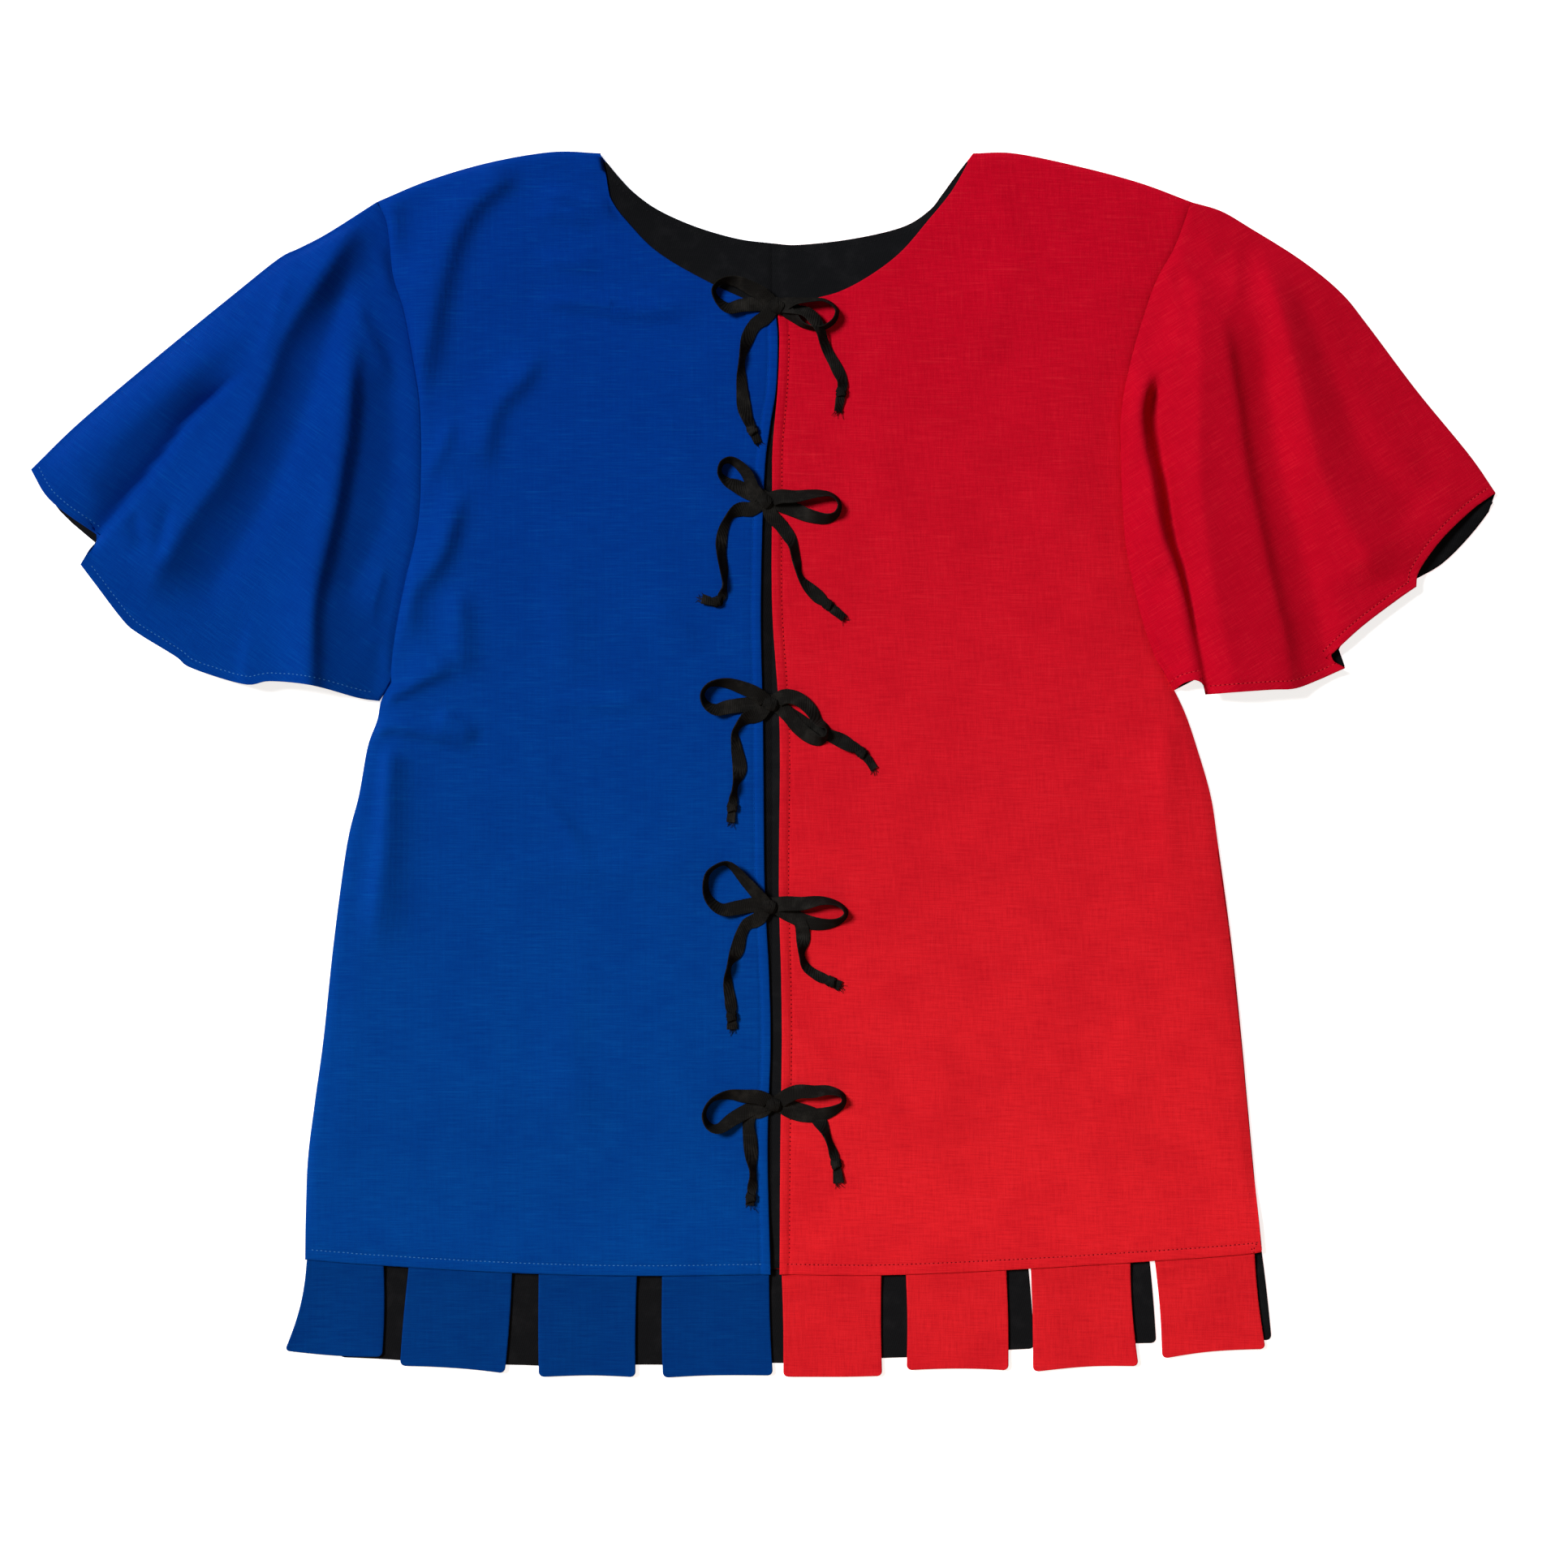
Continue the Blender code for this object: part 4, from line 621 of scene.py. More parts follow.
def nearest_on(line, points):
    """Each point's distance from the line, its place along it from 0 to 1, and its side: 1 on
    the right."""
    start, step = line[:-1], np.diff(line, axis=0)
    long = np.linalg.norm(step, axis=1)
    away = points[:, None] - start[None]
    share = np.clip((away * step).sum(2) / long**2, 0, 1)
    miss = away - share[..., None] * step
    distance = np.linalg.norm(miss, axis=2)
    row, nearest = np.arange(len(points)), distance.argmin(1)
    run = np.concatenate([[0], np.cumsum(long)])
    along = (run[nearest] + share[row, nearest] * long[nearest]) / run[-1]
    side = miss[row, nearest, 0] * step[nearest, 1] - miss[row, nearest, 1] * step[nearest, 0]
    return distance[row, nearest], along, np.sign(side)


def distance_from(line, points):
    """How far each point of a grid is from the line."""
    return nearest_on(line, points.reshape(-1, 2))[0].reshape(points.shape[:-1])


def fold_height(fold, points):
    """How much one fold lifts or lowers the cloth at each of the points."""
    near, along, side = nearest_on(smooth_curve(fold.route, steps=5), points)
    width = np.where(side > 0, fold.right, fold.left) * (FOLD_START_WIDTH + (1 - FOLD_START_WIDTH) * along)
    fade = smooth_step(along / max(fold.start, 1e-6)) * smooth_step((1 - along) / max(fold.end, 1e-6))
    return fold.height * np.exp(-((near / width) ** fold.sharp)) * fade


def folds_height(folds, points):
    flat = points.reshape(-1, 2)
    return sum(fold_height(fold, flat) for fold in folds).reshape(points.shape[:-1])


def front_height(points, loft, folds, edge):
    """Top of the front layer: its loft and folds. It is never lower than cloth lying flat,
    and flat where edge is 0."""
    return FRONT_TOP + np.logaddexp(0, loft + folds_height(folds, points) - SETTLE) * edge


def groove(points, line, inside, depth=GROOVE, width=GROOVE_WIDTH):
    """The dip along a row of stitches or a seam, which runs at a distance inside the line."""
    distance, along, _ = nearest_on(line, points.reshape(-1, 2))
    dip = depth * np.exp(-np.abs((distance - inside) / width) ** 1.3) * (along > 0) * (along < 1)
    return dip.reshape(points.shape[:-1])


def underside(points, top):
    """The shell's lower face: its thickness is kept on slopes, and it stays above the lining."""
    rows = np.gradient(np.dstack([points, top]), axis=0)
    columns = np.gradient(np.dstack([points, top]), axis=1)
    normal = np.cross(rows, columns)
    level = np.abs(normal[..., 2]) / np.maximum(np.linalg.norm(normal, axis=2), 1e-9)
    return np.maximum(top - CLOTH / np.maximum(level, LEAST_LEVEL), np.minimum(top - CLOTH, FRONT_UNDER))


# Meshes

def mesh_piece(name, points, faces, materials, indices=None):
    """A smooth mesh object from points in millimetres."""
    mesh = bpy.data.meshes.new(name)
    mesh.from_pydata((np.asarray(points, float) * MM).tolist(), [], faces)
    mesh.update()
    mesh.shade_smooth()
    for material in materials:
        mesh.materials.append(material)
    if indices is not None:
        mesh.polygons.foreach_set("material_index", np.asarray(indices, np.int32))
    made = bpy.data.objects.new(name, mesh)
    bpy.context.scene.collection.objects.link(made)
    return made


def sharpened(piece, degrees):
    piece.data.set_sharp_from_angle(angle=math.radians(degrees))
    return piece


def ring_faces(around, rings):
    """The faces between rings of points, with as many points in each."""
    return [(base + i, base + (i + 1) % around, base + around + (i + 1) % around, base + around + i)
            for base in range(0, around * (rings - 1), around) for i in range(around)]


def end_faces(around, count):
    """The faces that close the first and the last of the rings."""
    return [tuple(range(around))[::-1], tuple(range(count - around, count))]


def gathered(parts):
    """The points and faces of several parts, as one list of each."""
    points, faces = [], []
    for more, sides in parts:
        faces += [tuple(i + len(points) for i in side) for side in sides]
        points += more
    return points, faces


def shell(name, points, top, bottom, materials):
    """Cloth over a grid of points: its outer face, its lined under face and a rounded rim."""
    rows, columns = top.shape
    count = rows * columns
    index = np.arange(count).reshape(rows, columns)
    rim = np.concatenate([index[0], index[1:, -1], index[-1, -2::-1], index[-2:0:-1, 0]])
    upper = np.dstack([points, top]).reshape(-1, 3)
    lower = np.dstack([points, bottom]).reshape(-1, 3)
    upper[rim, 2] -= RIM
    lower[rim, 2] += RIM
    quads = np.stack([index[:-1, :-1], index[1:, :-1], index[1:, 1:], index[:-1, 1:]], axis=2).reshape(-1, 4)
    corner = upper[quads[0]]
    if np.cross(corner[1] - corner[0], corner[2] - corner[1])[2] < 0:
        quads, rim = quads[:, ::-1], rim[::-1]
    after = np.roll(rim, -1)
    side = np.column_stack([rim, rim + count, after + count, after])
    corner = np.vstack([upper, lower])[side[0]]
    centre = upper.mean(0)
    if np.dot(np.cross(corner[1] - corner[0], corner[2] - corner[1]), corner[0] - centre) < 0:
        side = side[:, ::-1]
    faces = quads.tolist() + (quads[:, ::-1] + count).tolist() + side.tolist()
    indices = [0] * len(quads) + [1] * len(quads) + [0] * len(side)
    return mesh_piece(name, np.vstack([upper, lower]), faces, materials, indices)


def tube_shell(name, outer, inner, materials):
    """A cloth tube between an outer and an inner set of rings, open at both ends."""
    rings, around = outer.shape[:2]
    count = rings * around
    i, j = np.meshgrid(np.arange(rings - 1), np.arange(around), indexing="ij")
    after = (j + 1) % around
    a, b = (i * around + j).ravel(), (i * around + after).ravel()
    outside = np.column_stack([a, b, b + around, a + around])
    inside = outside[:, ::-1] + count
    ends = []
    for ring, turned in ((0, False), (rings - 1, True)):
        a = ring * around + np.arange(around)
        b = ring * around + (np.arange(around) + 1) % around
        end = np.column_stack([a, a + count, b + count, b])
        ends.append(end[:, ::-1] if turned else end)
    points = np.vstack([outer.reshape(-1, 3), inner.reshape(-1, 3)])
    faces = np.vstack([outside, inside, *ends])
    corners = points[outside]
    normal = np.cross(corners[:, 1] - corners[:, 0], corners[:, 2] - corners[:, 0])
    upper = corners[:, :, 2].mean(1) > FRONT_TOP
    if normal[upper, 2].sum() < 0:
        faces = faces[:, ::-1]
    indices = [0] * len(outside) + [1] * len(inside) + [0] * (2 * around)
    return mesh_piece(name, points, faces.tolist(), materials, indices)


def lay(piece, node):
    """Seats a piece of cloth under the body's empty, and hides the CAD piece that it was cut as."""
    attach(piece, BODY)
    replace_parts(piece, node)


# Pieces of cloth

def armhole_line(side):
    return divided(smooth_curve(side.armhole), ARMHOLE_PIECES)


def side_line(side):
    return divided(smooth_curve(side.side), SIDE_PIECES)


def with_edge_lines(line, inner_lines):
    """The line with more points beside its ends: the lines of the grid that start there."""
    return at_shares(line, with_lines(shares_of(line), lengths_along(line)[-1], EDGE_LINES, inner_lines))


def body_lines(side, neck_route, centre_line, hem_line, inner_lines):
    """The four lines that bound a front or a back: armhole and side, centre, shoulder and neck, hem."""
    armhole = shifted(armhole_line(side), side.turn * SEAM / 2)
    seam = side_line(side)
    seam[0] = armhole[-1]
    left = with_edge_lines(np.vstack([armhole, seam[1:]]), inner_lines)
    shoulder = divided(smooth_curve(side.shoulder), SHOULDER_PIECES)
    shoulder[0] = left[0]
    neck = divided(smooth_curve(neck_route), NECK_PIECES)
    top = with_edge_lines(np.vstack([shoulder, neck[1:]]), inner_lines)
    right = at_shares(centre_line, shares_of(left))
    bottom = at_shares(hem_line, shares_of(top))
    return left, right, top, bottom


def front_panel(side, materials):
    left, right, top, bottom = body_lines(
        side, side.neck_front, smooth_curve(side.centre), smooth_curve(side.hem), STITCHED_LINES)
    points = patch(left, right, top, bottom)
    puff, edge = 1.0, 1.0
    for line, reach in ((left, PUFF_FROM_SIDE), (right, PUFF_FROM_CENTRE), (top, PUFF_FROM_TOP),
                        (bottom, PUFF_FROM_HEM)):
        distance = distance_from(line[::3], points)
        puff = puff * smooth_step(distance / reach)
        edge = edge * smooth_step(distance / SETTLED_EDGE)
    height = front_height(points, side.puff * puff, PANEL_FOLDS, edge)
    from_hem = np.linalg.norm(points - points[-1:], axis=2)
    hem_rise = smooth_step(1 - (from_hem - HEM_ROW - 1) / HEM_FADE)
    height = height + (HEM_TOP - FRONT_TOP) * hem_rise
    # The seams at the shoulder and the side draw the edge down to the back
    for route, drop in ((side.shoulder, 1), (side.side, 1 - hem_rise)):
        near = smooth_step(1 - distance_from(smooth_curve(route), points) / SEAM_REACH)
        height = height - (FRONT_TOP - SEAM_TOP) * drop * near
    centre = smooth_curve(side.centre)
    turned = smooth_step(TURNED_EDGE_ENDS - distance_from(centre, points) / TURNED_EDGE)
    height = height + EDGE_THICKER * turned
    height = height - groove(points, centre, TURNED_EDGE)
    height = height - groove(points, smooth_curve(side.hem), HEM_STITCH_UP)
    height = height - groove(points, smooth_curve(side.armhole), 0, SEAM_DIP, SEAM_DIP_WIDTH)
    under = np.where(height < FRONT_TOP, height - CLOTH, underside(points, height))
    piece = shell("cloth_front_" + side.name, points, height, under, materials)
    lay(piece, "front_" + side.name)


def back_hem(side):
    return smooth_curve(side.hem) + (0, BACK_HEM_UP)


def back_grid(side):
    hem = back_hem(side)
    centre_x = CENTRE_BACK_X - side.turn * SEAM / 2
    hem[-1, 0] = centre_x
    neck_route = (*side.neck_back[:-1], (centre_x, side.neck_back[-1][1]))
    centre_line = np.array([(centre_x, side.neck_back[-1][1]), tuple(hem[-1])])
    left, right, top, bottom = body_lines(side, neck_route, centre_line, hem, EDGE_LINES)
    return patch(left, right, top, bottom)


def back_panel(side, materials):
    points = back_grid(side)[::2, ::2]
    creases = folds_height(BACK_CREASES, points)
    piece = shell("cloth_back_" + side.name, points, np.full(points.shape[:2], CLOTH), -creases, materials)
    lay(piece, "back_" + side.name)


def flat_piece(name, outline, low, thickness, materials, rim=RIM):
    """A flat piece of cloth with a rounded rim."""
    count = len(outline)
    inner = inset(outline, [rim * RIM_IN] * count)
    levels = ((inner, low), (outline, low + rim), (outline, low + thickness - rim), (inner, low + thickness))
    points = [(*p, z) for line, z in levels for p in line]
    faces = end_faces(count, len(points)) + ring_faces(count, len(levels))
    return sharpened(mesh_piece(name, points, faces, materials), SHARP_FLAT)


def within(lines, turn):
    """The outline of what lies inside some lines, each moved in by its own distance. They run
    anticlockwise where turn is 1, and clockwise where it is -1."""
    if turn < 0:
        lines = [(line[::-1], distance) for line, distance in lines[::-1]]
    runs = []
    for i, (line, distance) in enumerate(lines):
        moved = shifted(line, distance) if distance else line
        for j, (other, least) in enumerate(lines):
            if j != i and len(moved):
                moved = moved[nearest_on(other, moved)[0] >= least - 0.01]
        runs.append(moved)
    outline = np.vstack(runs)
    apart = np.linalg.norm(outline - np.roll(outline, 1, axis=0), axis=1)
    return outline[apart > CLOSEST_POINTS]


def back_lining(side, materials):
    """The lining of half the back, short of the seams that close over it."""
    seam = np.vstack([armhole_line(side), side_line(side)[1:]])
    top, low = side.neck_back[-1][1], side.hem[-1][1] + BACK_HEM_UP
    centre = np.array([(CENTRE_BACK_X, low), (CENTRE_BACK_X, top)], float)
    outline = within([(seam, LINING_IN), (back_hem(side), LINING_IN_HEM),
                      (divided(centre, CENTRE_BACK_PIECES), 0),
                      (smooth_curve(side.neck_back)[::-1], 0),
                      (smooth_curve(side.shoulder)[::-1], LINING_IN_SHOULDER)], side.turn)
    piece = flat_piece("cloth_back_lining_" + side.name, outline, LINING_Z, LINING, materials, LINING_RIM)
    lay(piece, "back_lining_" + side.name)


def cut_stretches(stretches, times):
    """The points that divide a hem of several stretches into its pieces."""
    parts = [divided(smooth_curve(stretch.route), stretch.pieces * times) for stretch in stretches]
    return np.vstack([part[:-1] for part in parts] + [parts[-1][-1:]])


def smoothed(line, times):
    """The line with each point drawn towards its neighbours, a number of times."""
    line = line.copy()
    for _ in range(times):
        line[1:-1] = (line[:-2] + line[1:-1] + line[2:]) / 3
    return line


def sewn_hem(stretches):
    """The runs of a hem that are stitched, which leaves out the short steps between them."""
    return [divided(smooth_curve(stretch.route), SEWN_HEM_PIECES)
            for stretch in stretches if stretch.pieces > 1]


def sleeve_grids(side):
    """Points of the sleeve's front half and of its back half, from the armhole to the hem."""
    hem_front = cut_stretches(side.hem_front, HEM_PIECES_TIMES)
    hem_back = cut_stretches(side.hem_back, BACK_HEM_PIECES_TIMES)
    armhole = shifted(divided(smooth_curve(side.armhole), len(hem_front) - 1), -side.turn * SEAM / 2)
    armhole_back = divided(armhole, len(hem_back) - 1)
    long = lengths_along(smooth_curve(side.overarm))[-1]
    shares = with_lines(np.linspace(0, 1, SLEEVE_LENGTH_PIECES + 1), long, EDGE_LINES, STITCHED_LINES)
    overarm = at_shares(smooth_curve(side.overarm), shares)
    underarm = at_shares(smooth_curve(side.underarm), shares)
    overarm[0], underarm[0] = armhole[0], armhole[-1]
    even = smoothed(hem_front, 3 * HEM_PIECES_TIMES**2)
    front = np.swapaxes(patch(armhole, even, overarm, underarm), 0, 1)
    # The notches of the hem blur out away from it
    notches, passes = hem_front - even, 0
    for ring in range(len(shares) - 1, 0, -1):
        wanted = int(NOTCH_BLUR * ((1 - shares[ring]) * long) ** 2)
        notches = smoothed(notches, min(wanted, NOTCH_PASSES) - passes)
        passes = min(wanted, NOTCH_PASSES)
        front[ring] += notches * smooth_step((shares[ring] - 1 + NOTCH_REACH) / NOTCH_REACH)
    back = np.swapaxes(patch(armhole_back, hem_back, overarm, underarm), 0, 1)
    return front, back


def sleeve(side, materials):
    """A bell sleeve: one cloth folded over the arm and seamed under it."""
    front, back = sleeve_grids(side)
    rings = len(front)
    loft, edge = side.loft, 1.0
    for line, reach in ((front[0], ARMHOLE_RISE), (front[:, 0], side.overarm_rise),
                        (front[:, -1], UNDERARM_RISE)):
        distance = distance_from(line, front)
        loft = loft * np.sin(np.clip(distance / reach, 0, 1) * math.pi / 2)
        edge = edge * smooth_step(distance / SETTLED_EDGE)
    top = front_height(front, loft, SLEEVE_FOLDS, edge)
    top = top - groove(front, smooth_curve(side.armhole), 0, SEAM_DIP, SEAM_DIP_WIDTH)
    for hem in sewn_hem(side.hem_front):
        top = top - groove(front, hem, SLEEVE_STITCH_IN)
    under = underside(front, top)
    top[-1] -= RIM
    under[-1] += RIM
    half = FRONT_TOP / 2

    def level(points, z):
        return np.dstack([points[:, None], np.full((rings, 1, 1), z)])

    def turned(edge, inner_front, inner_back, radius, front_side):
        """The cloth's fold at an edge, from the front layer round to the back one."""
        part = []
        for angle in np.radians(EDGE_ANGLES):
            inward = half - radius * math.cos(angle)
            inner = inner_front if angle >= 0 else inner_back
            part.append(level(towards(edge, inner, inward), half + radius * math.sin(angle)))
        return part if front_side else part[::-1]

    def face(radius, front_heights, back_z):
        over = turned(front[:, 0], front[:, 2], back[:, 2], radius, False)
        beside = turned(front[:, -1], front[:, -3], back[:, -3], radius, True)
        middle = np.dstack([front[:, 2:-2], front_heights[:, 2:-2]])
        behind = np.dstack([back[:, -3:1:-1], np.full((rings, back.shape[1] - 4), back_z)])
        return np.concatenate([*over, middle, *beside, behind], axis=1)

    outer = face(half, top, 0.0)
    inner = face(half - CLOTH, under, CLOTH)
    piece = tube_shell("cloth_sleeve_" + side.name, outer, inner, materials)
    lay(piece, "sleeve_" + side.name)


def sleeve_lining(side, materials):
    """The lining on the back half of the sleeve, which shows at the mouth."""
    hem = cut_stretches(side.hem_back, BACK_HEM_PIECES_TIMES)
    outline = within([(smooth_curve(side.overarm), LINING_IN_SLEEVE), (hem, LINING_IN_HEM),
                      (smooth_curve(side.underarm)[::-1], LINING_IN_SLEEVE),
                      (armhole_line(side)[::-1], LINING_IN_SLEEVE)], side.turn)
    piece = flat_piece("cloth_sleeve_lining_" + side.name, outline, LINING_Z, LINING, materials)
    lay(piece, "sleeve_lining_" + side.name)


def dag_grid(top_left, top_right, low_left, low_right, tuck, bows):
    """A dag's points, with rounded lower corners and sides that bow a little."""
    corners = (top_left, top_right, low_left, low_right)
    top_left, top_right, low_left, low_right = (np.array(corner, float) for corner in corners)
    wide, long = np.linalg.norm(top_right - top_left), np.linalg.norm(low_left - top_left)
    rows = with_lines(np.linspace(0, 1, DAG_ROWS + 1), long, (), DAG_CORNER_LINES)
    rows = np.concatenate([[-tuck / long], rows]) if tuck else rows
    columns = with_lines(np.linspace(0, 1, DAG_COLUMNS + 1), wide, DAG_EDGE_LINES, DAG_EDGE_LINES)
    left_bow, low_bow, right_bow = bows
    grid = []
    for share in rows:
        left = top_left + (low_left - top_left) * share
        right = top_right + (low_right - top_right) * share
        out = unit(right - left)
        swell = math.sin(math.pi * max(share, 0))
        from_low = (1 - share) * long
        round_in = 0.0
        if from_low < DAG_CORNER:
            round_in = DAG_CORNER - math.sqrt(max(DAG_CORNER**2 - (DAG_CORNER - from_low) ** 2, 0))
        left = left - out * (left_bow * swell - round_in)
        right = right + out * (right_bow * swell - round_in)
        line = left + (right - left) * columns[:, None]
        line[:, 1] -= low_bow * np.sin(math.pi * columns) * max(share, 0) ** 3
        grid.append(line)
    return np.array(grid), np.broadcast_to(rows[:, None], (len(rows), len(columns)))


def front_dag(name, dag, wave, materials):
    """A dag sewn under the front hem, which then lies down on the back dags."""
    points, share = dag_grid(*dag[:4], DAG_TUCK, dag[4:])
    drop = smooth_step((share - 0.02) / DAG_DROPS_BY)
    low = FRONT_UNDER + (DAG_LOW - FRONT_UNDER) * drop
    x = np.linspace(0, 1, points.shape[1])[None]
    waves = np.sin(2 * math.pi * x * DAG_WAVES + wave) * share
    lift = smooth_step(share / 0.5) * (DAG_LIFT + DAG_LIFT * waves)
    curl = smooth_step((share - DAG_CURL_FROM) / (1 - DAG_CURL_FROM)) * (2 * x - 1) ** 2
    low = low + lift + DAG_CURL * curl
    piece = shell("cloth_" + name, points, low + DAG, low, materials)
    lay(piece, name)


def back_dag(name, top_right_x, low_right_x, hem_line, materials):
    """A dag that hangs from the back hem and lies flat, its lining upwards."""
    low_line = smooth_curve(BACK_HEM_LOW)
    order = hem_line[:, 0].argsort()

    def seam(x):
        return np.interp(x, hem_line[order, 0], hem_line[order, 1]) - DAG_CLEAR

    def low(x):
        return np.interp(x, low_line[:, 0], low_line[:, 1])

    low_left_x, top_left_x = low_right_x - BACK_DAG_WIDTH, top_right_x - BACK_DAG_WIDTH
    points, share = dag_grid((top_left_x, seam(top_left_x)), (top_right_x, seam(top_right_x)),
                             (low_left_x, low(low_left_x)), (low_right_x, low(low_right_x)),
                             0, BACK_DAG_BOWS)
    points[..., 1] += (seam(points[:1, :, 0]) - points[:1, :, 1]) * (1 - share)
    shape = points.shape[:2]
    piece = shell("cloth_" + name, points, np.full(shape, DAG), np.zeros(shape), materials)
    lay(piece, name)


# Stitches

def surface_over(pieces):
    """A function that gives the height of the cloth at a place, in millimetres."""
    trees = []
    for piece in pieces:
        points = np.empty(len(piece.data.vertices) * 3, np.float32)
        piece.data.vertices.foreach_get("co", points)
        corners = (points.reshape(-1, 3) / MM).tolist()
        trees.append(BVHTree.FromPolygons(corners, [tuple(p.vertices) for p in piece.data.polygons]))

    def height(x, y, least=0.0):
        found = [least]
        for tree in trees:
            hit = tree.ray_cast(Vector((x, y, 100)), Vector((0, 0, -1)))[0]
            if hit is not None:
                found.append(hit.z)
        return max(found)

    return height


def bead(centre, along, half_long, half_wide, half_high):
    """A small rounded grain of thread: points and faces."""
    along = unit(along)
    across = unit(np.cross((0, 0, 1), along))
    up = np.cross(along, across)
    points = [centre - along * half_long]
    for share, size in BEAD_RINGS:
        for k in range(BEAD_SIDES):
            angle = k * 2 * math.pi / BEAD_SIDES
            out = across * half_wide * math.cos(angle) + up * half_high * math.sin(angle)
            points.append(centre + along * half_long * share + size * out)
    points.append(centre + along * half_long)
    end = len(points) - 1
    around = [(k, (k + 1) % BEAD_SIDES) for k in range(BEAD_SIDES)]
    faces = [(0, 1 + after, 1 + k) for k, after in around]
    faces += [tuple(1 + i for i in face) for face in ring_faces(BEAD_SIDES, len(BEAD_RINGS))]
    faces += [(end - BEAD_SIDES + k, end - BEAD_SIDES + after, end) for k, after in around]
    return points, faces


def stitches(name, lines, surface, material, pitch, size, seed, sunk=0.0, at_ends=False):
    """Rows of stitches along lines on the cloth, joined into one mesh."""
    random = np.random.default_rng(seed)
    half_long, half_wide, half_high = size
    beads = []
    for line in lines:
        length = lengths_along(line)[-1]
        count = int(length / pitch)
        for k in range(count):
            middle = (k + (1.0 if at_ends else 0.5)) * pitch
            ends = at_shares(line, np.clip((middle + np.array((-1, 1)) * half_long) / length, 0, 1))
            place = [np.array([*end, surface(*end) + half_high * STITCH_STANDS - sunk]) for end in ends]
            centre = (place[0] + place[1]) / 2 + random.normal(0, STITCH_STRAYS, 3) * (1, 1, 0.3)
            along = place[1] - place[0] + random.normal(0, STITCH_TURNS, 3) * half_long
            long = half_long * random.uniform(*STITCH_LENGTHS)
            beads.append(bead(centre, along, long, half_wide, half_high))
    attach(mesh_piece(name, *gathered(beads), [material]), BODY)


# Ties

def ribbon(name, line, widths, thicks, rolls, surface, lifts, material):
    """A tape along a line over the cloth, rolled about its own length. Gives it and its path."""
    along = unit(np.gradient(line, axis=0))
    across = np.column_stack([along[:, 1], -along[:, 0]])
    beds, path, points = [], [], []
    for k, (x, y) in enumerate(line):
        reach = widths[k] / 2 * math.cos(rolls[k])
        beds.append(max(surface(x + s * reach * across[k, 0], y + s * reach * across[k, 1], FRONT_UNDER)
                        for s in (-1, -0.5, 0, 0.5, 1)))
    beds = np.convolve(np.pad(beds, 2, mode="edge"), np.full(5, 0.2), "valid")
    for k, (x, y) in enumerate(line):
        turn = rolls[k]
        half_width, half_thick = widths[k] / 2, thicks[k] / 2
        middle = beds[k] + lifts[k] + half_width * abs(math.sin(turn)) + half_thick * math.cos(turn)
        wide = np.array([*(across[k] * math.cos(turn)), math.sin(turn)])
        up = np.array([*(-across[k] * math.sin(turn)), math.cos(turn)])
        centre = np.array([x, y, middle])
        path.append(centre)
        points += [centre + s * half_width * wide + t * half_thick * up for s, t in TAPE_SECTION]
    around = len(TAPE_SECTION)
    faces = end_faces(around, len(points)) + ring_faces(around, len(line))
    return sharpened(mesh_piece(name, points, faces, [material]), SHARP_TAPE), np.array(path)


def tube(points, radii, sides=6):
    """Points and faces of a thin round tube along a line."""
    line = np.array(points, float)
    along = unit(np.gradient(line, axis=0))
    first = unit(np.cross(along, (0.31, 0.24, 0.92)))
    second = np.cross(along, first)
    made = [line[k] + radii[k] * (first[k] * math.cos(a) + second[k] * math.sin(a))
            for k in range(len(line)) for a in np.arange(sides) * 2 * math.pi / sides]
    faces = [face[::-1] for face in end_faces(sides, len(made))]
    faces += [(a, d, c, b) for a, b, c, d in ring_faces(sides, len(line))]
    return made, faces


def band(centre, axis, out, radius_across, radius_up, width, thick, turns=(0, 360), lean=0.0):
    """A tape wound round an axis: points and faces. It shifts along the axis by lean as it turns."""
    axis, across = unit(np.array(axis, float)), unit(np.array(out, float))
    up = np.cross(axis, across)
    if up[2] < 0:
        up = -up
    points = []
    for k in range(WINDING_STEPS + 1):
        angle = math.radians(turns[0] + (turns[1] - turns[0]) * k / WINDING_STEPS)
        ray = across * math.cos(angle) * radius_across + up * math.sin(angle) * radius_up
        size = np.linalg.norm(ray)
        shift = axis * lean * math.sin(angle)
        for s, t in WINDING_SECTION:
            points.append(centre + shift + ray * (1 + t * thick / 2 / size) + axis * s * width / 2)
    faces = ring_faces(len(WINDING_SECTION), WINDING_STEPS + 1)
    if turns[1] - turns[0] < 360:
        faces += end_faces(len(WINDING_SECTION), len(points))
    return points, faces


def joined(name, parts, material):
    """A knot's parts as one piece of tape."""
    piece = sharpened(mesh_piece(name, *gathered(parts), [material]), SHARP_KNOT)
    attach(piece, BODY)
    return piece


def bow_knot(number, bow, surface, material):
    """The knot of a bow: a band over both tapes, a second one that crosses it, and their core."""
    middle = np.array([bow.x, bow.y, surface(bow.x, bow.y, FRONT_TOP) + KNOT_HEIGHT])

    def wound(shift, turn, sizes):
        axis, out = (math.cos(turn), math.sin(turn), 0), (-math.sin(turn), math.cos(turn), 0)
        return band(middle + shift, axis, out, *sizes)

    lean = math.radians(KNOT_LEANS[number - 1])
    parts = [wound((0, 0, 0), lean, KNOT_WINDING), wound((0.4, 0.3, 0.4), lean + KNOT_CROSSES, KNOT_CROSSING),
             wound((0, 0, -0.3), lean, KNOT_CORE)]
    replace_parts(joined(f"tape_{number}_knot", parts, material), f"bow_{number}_knot")


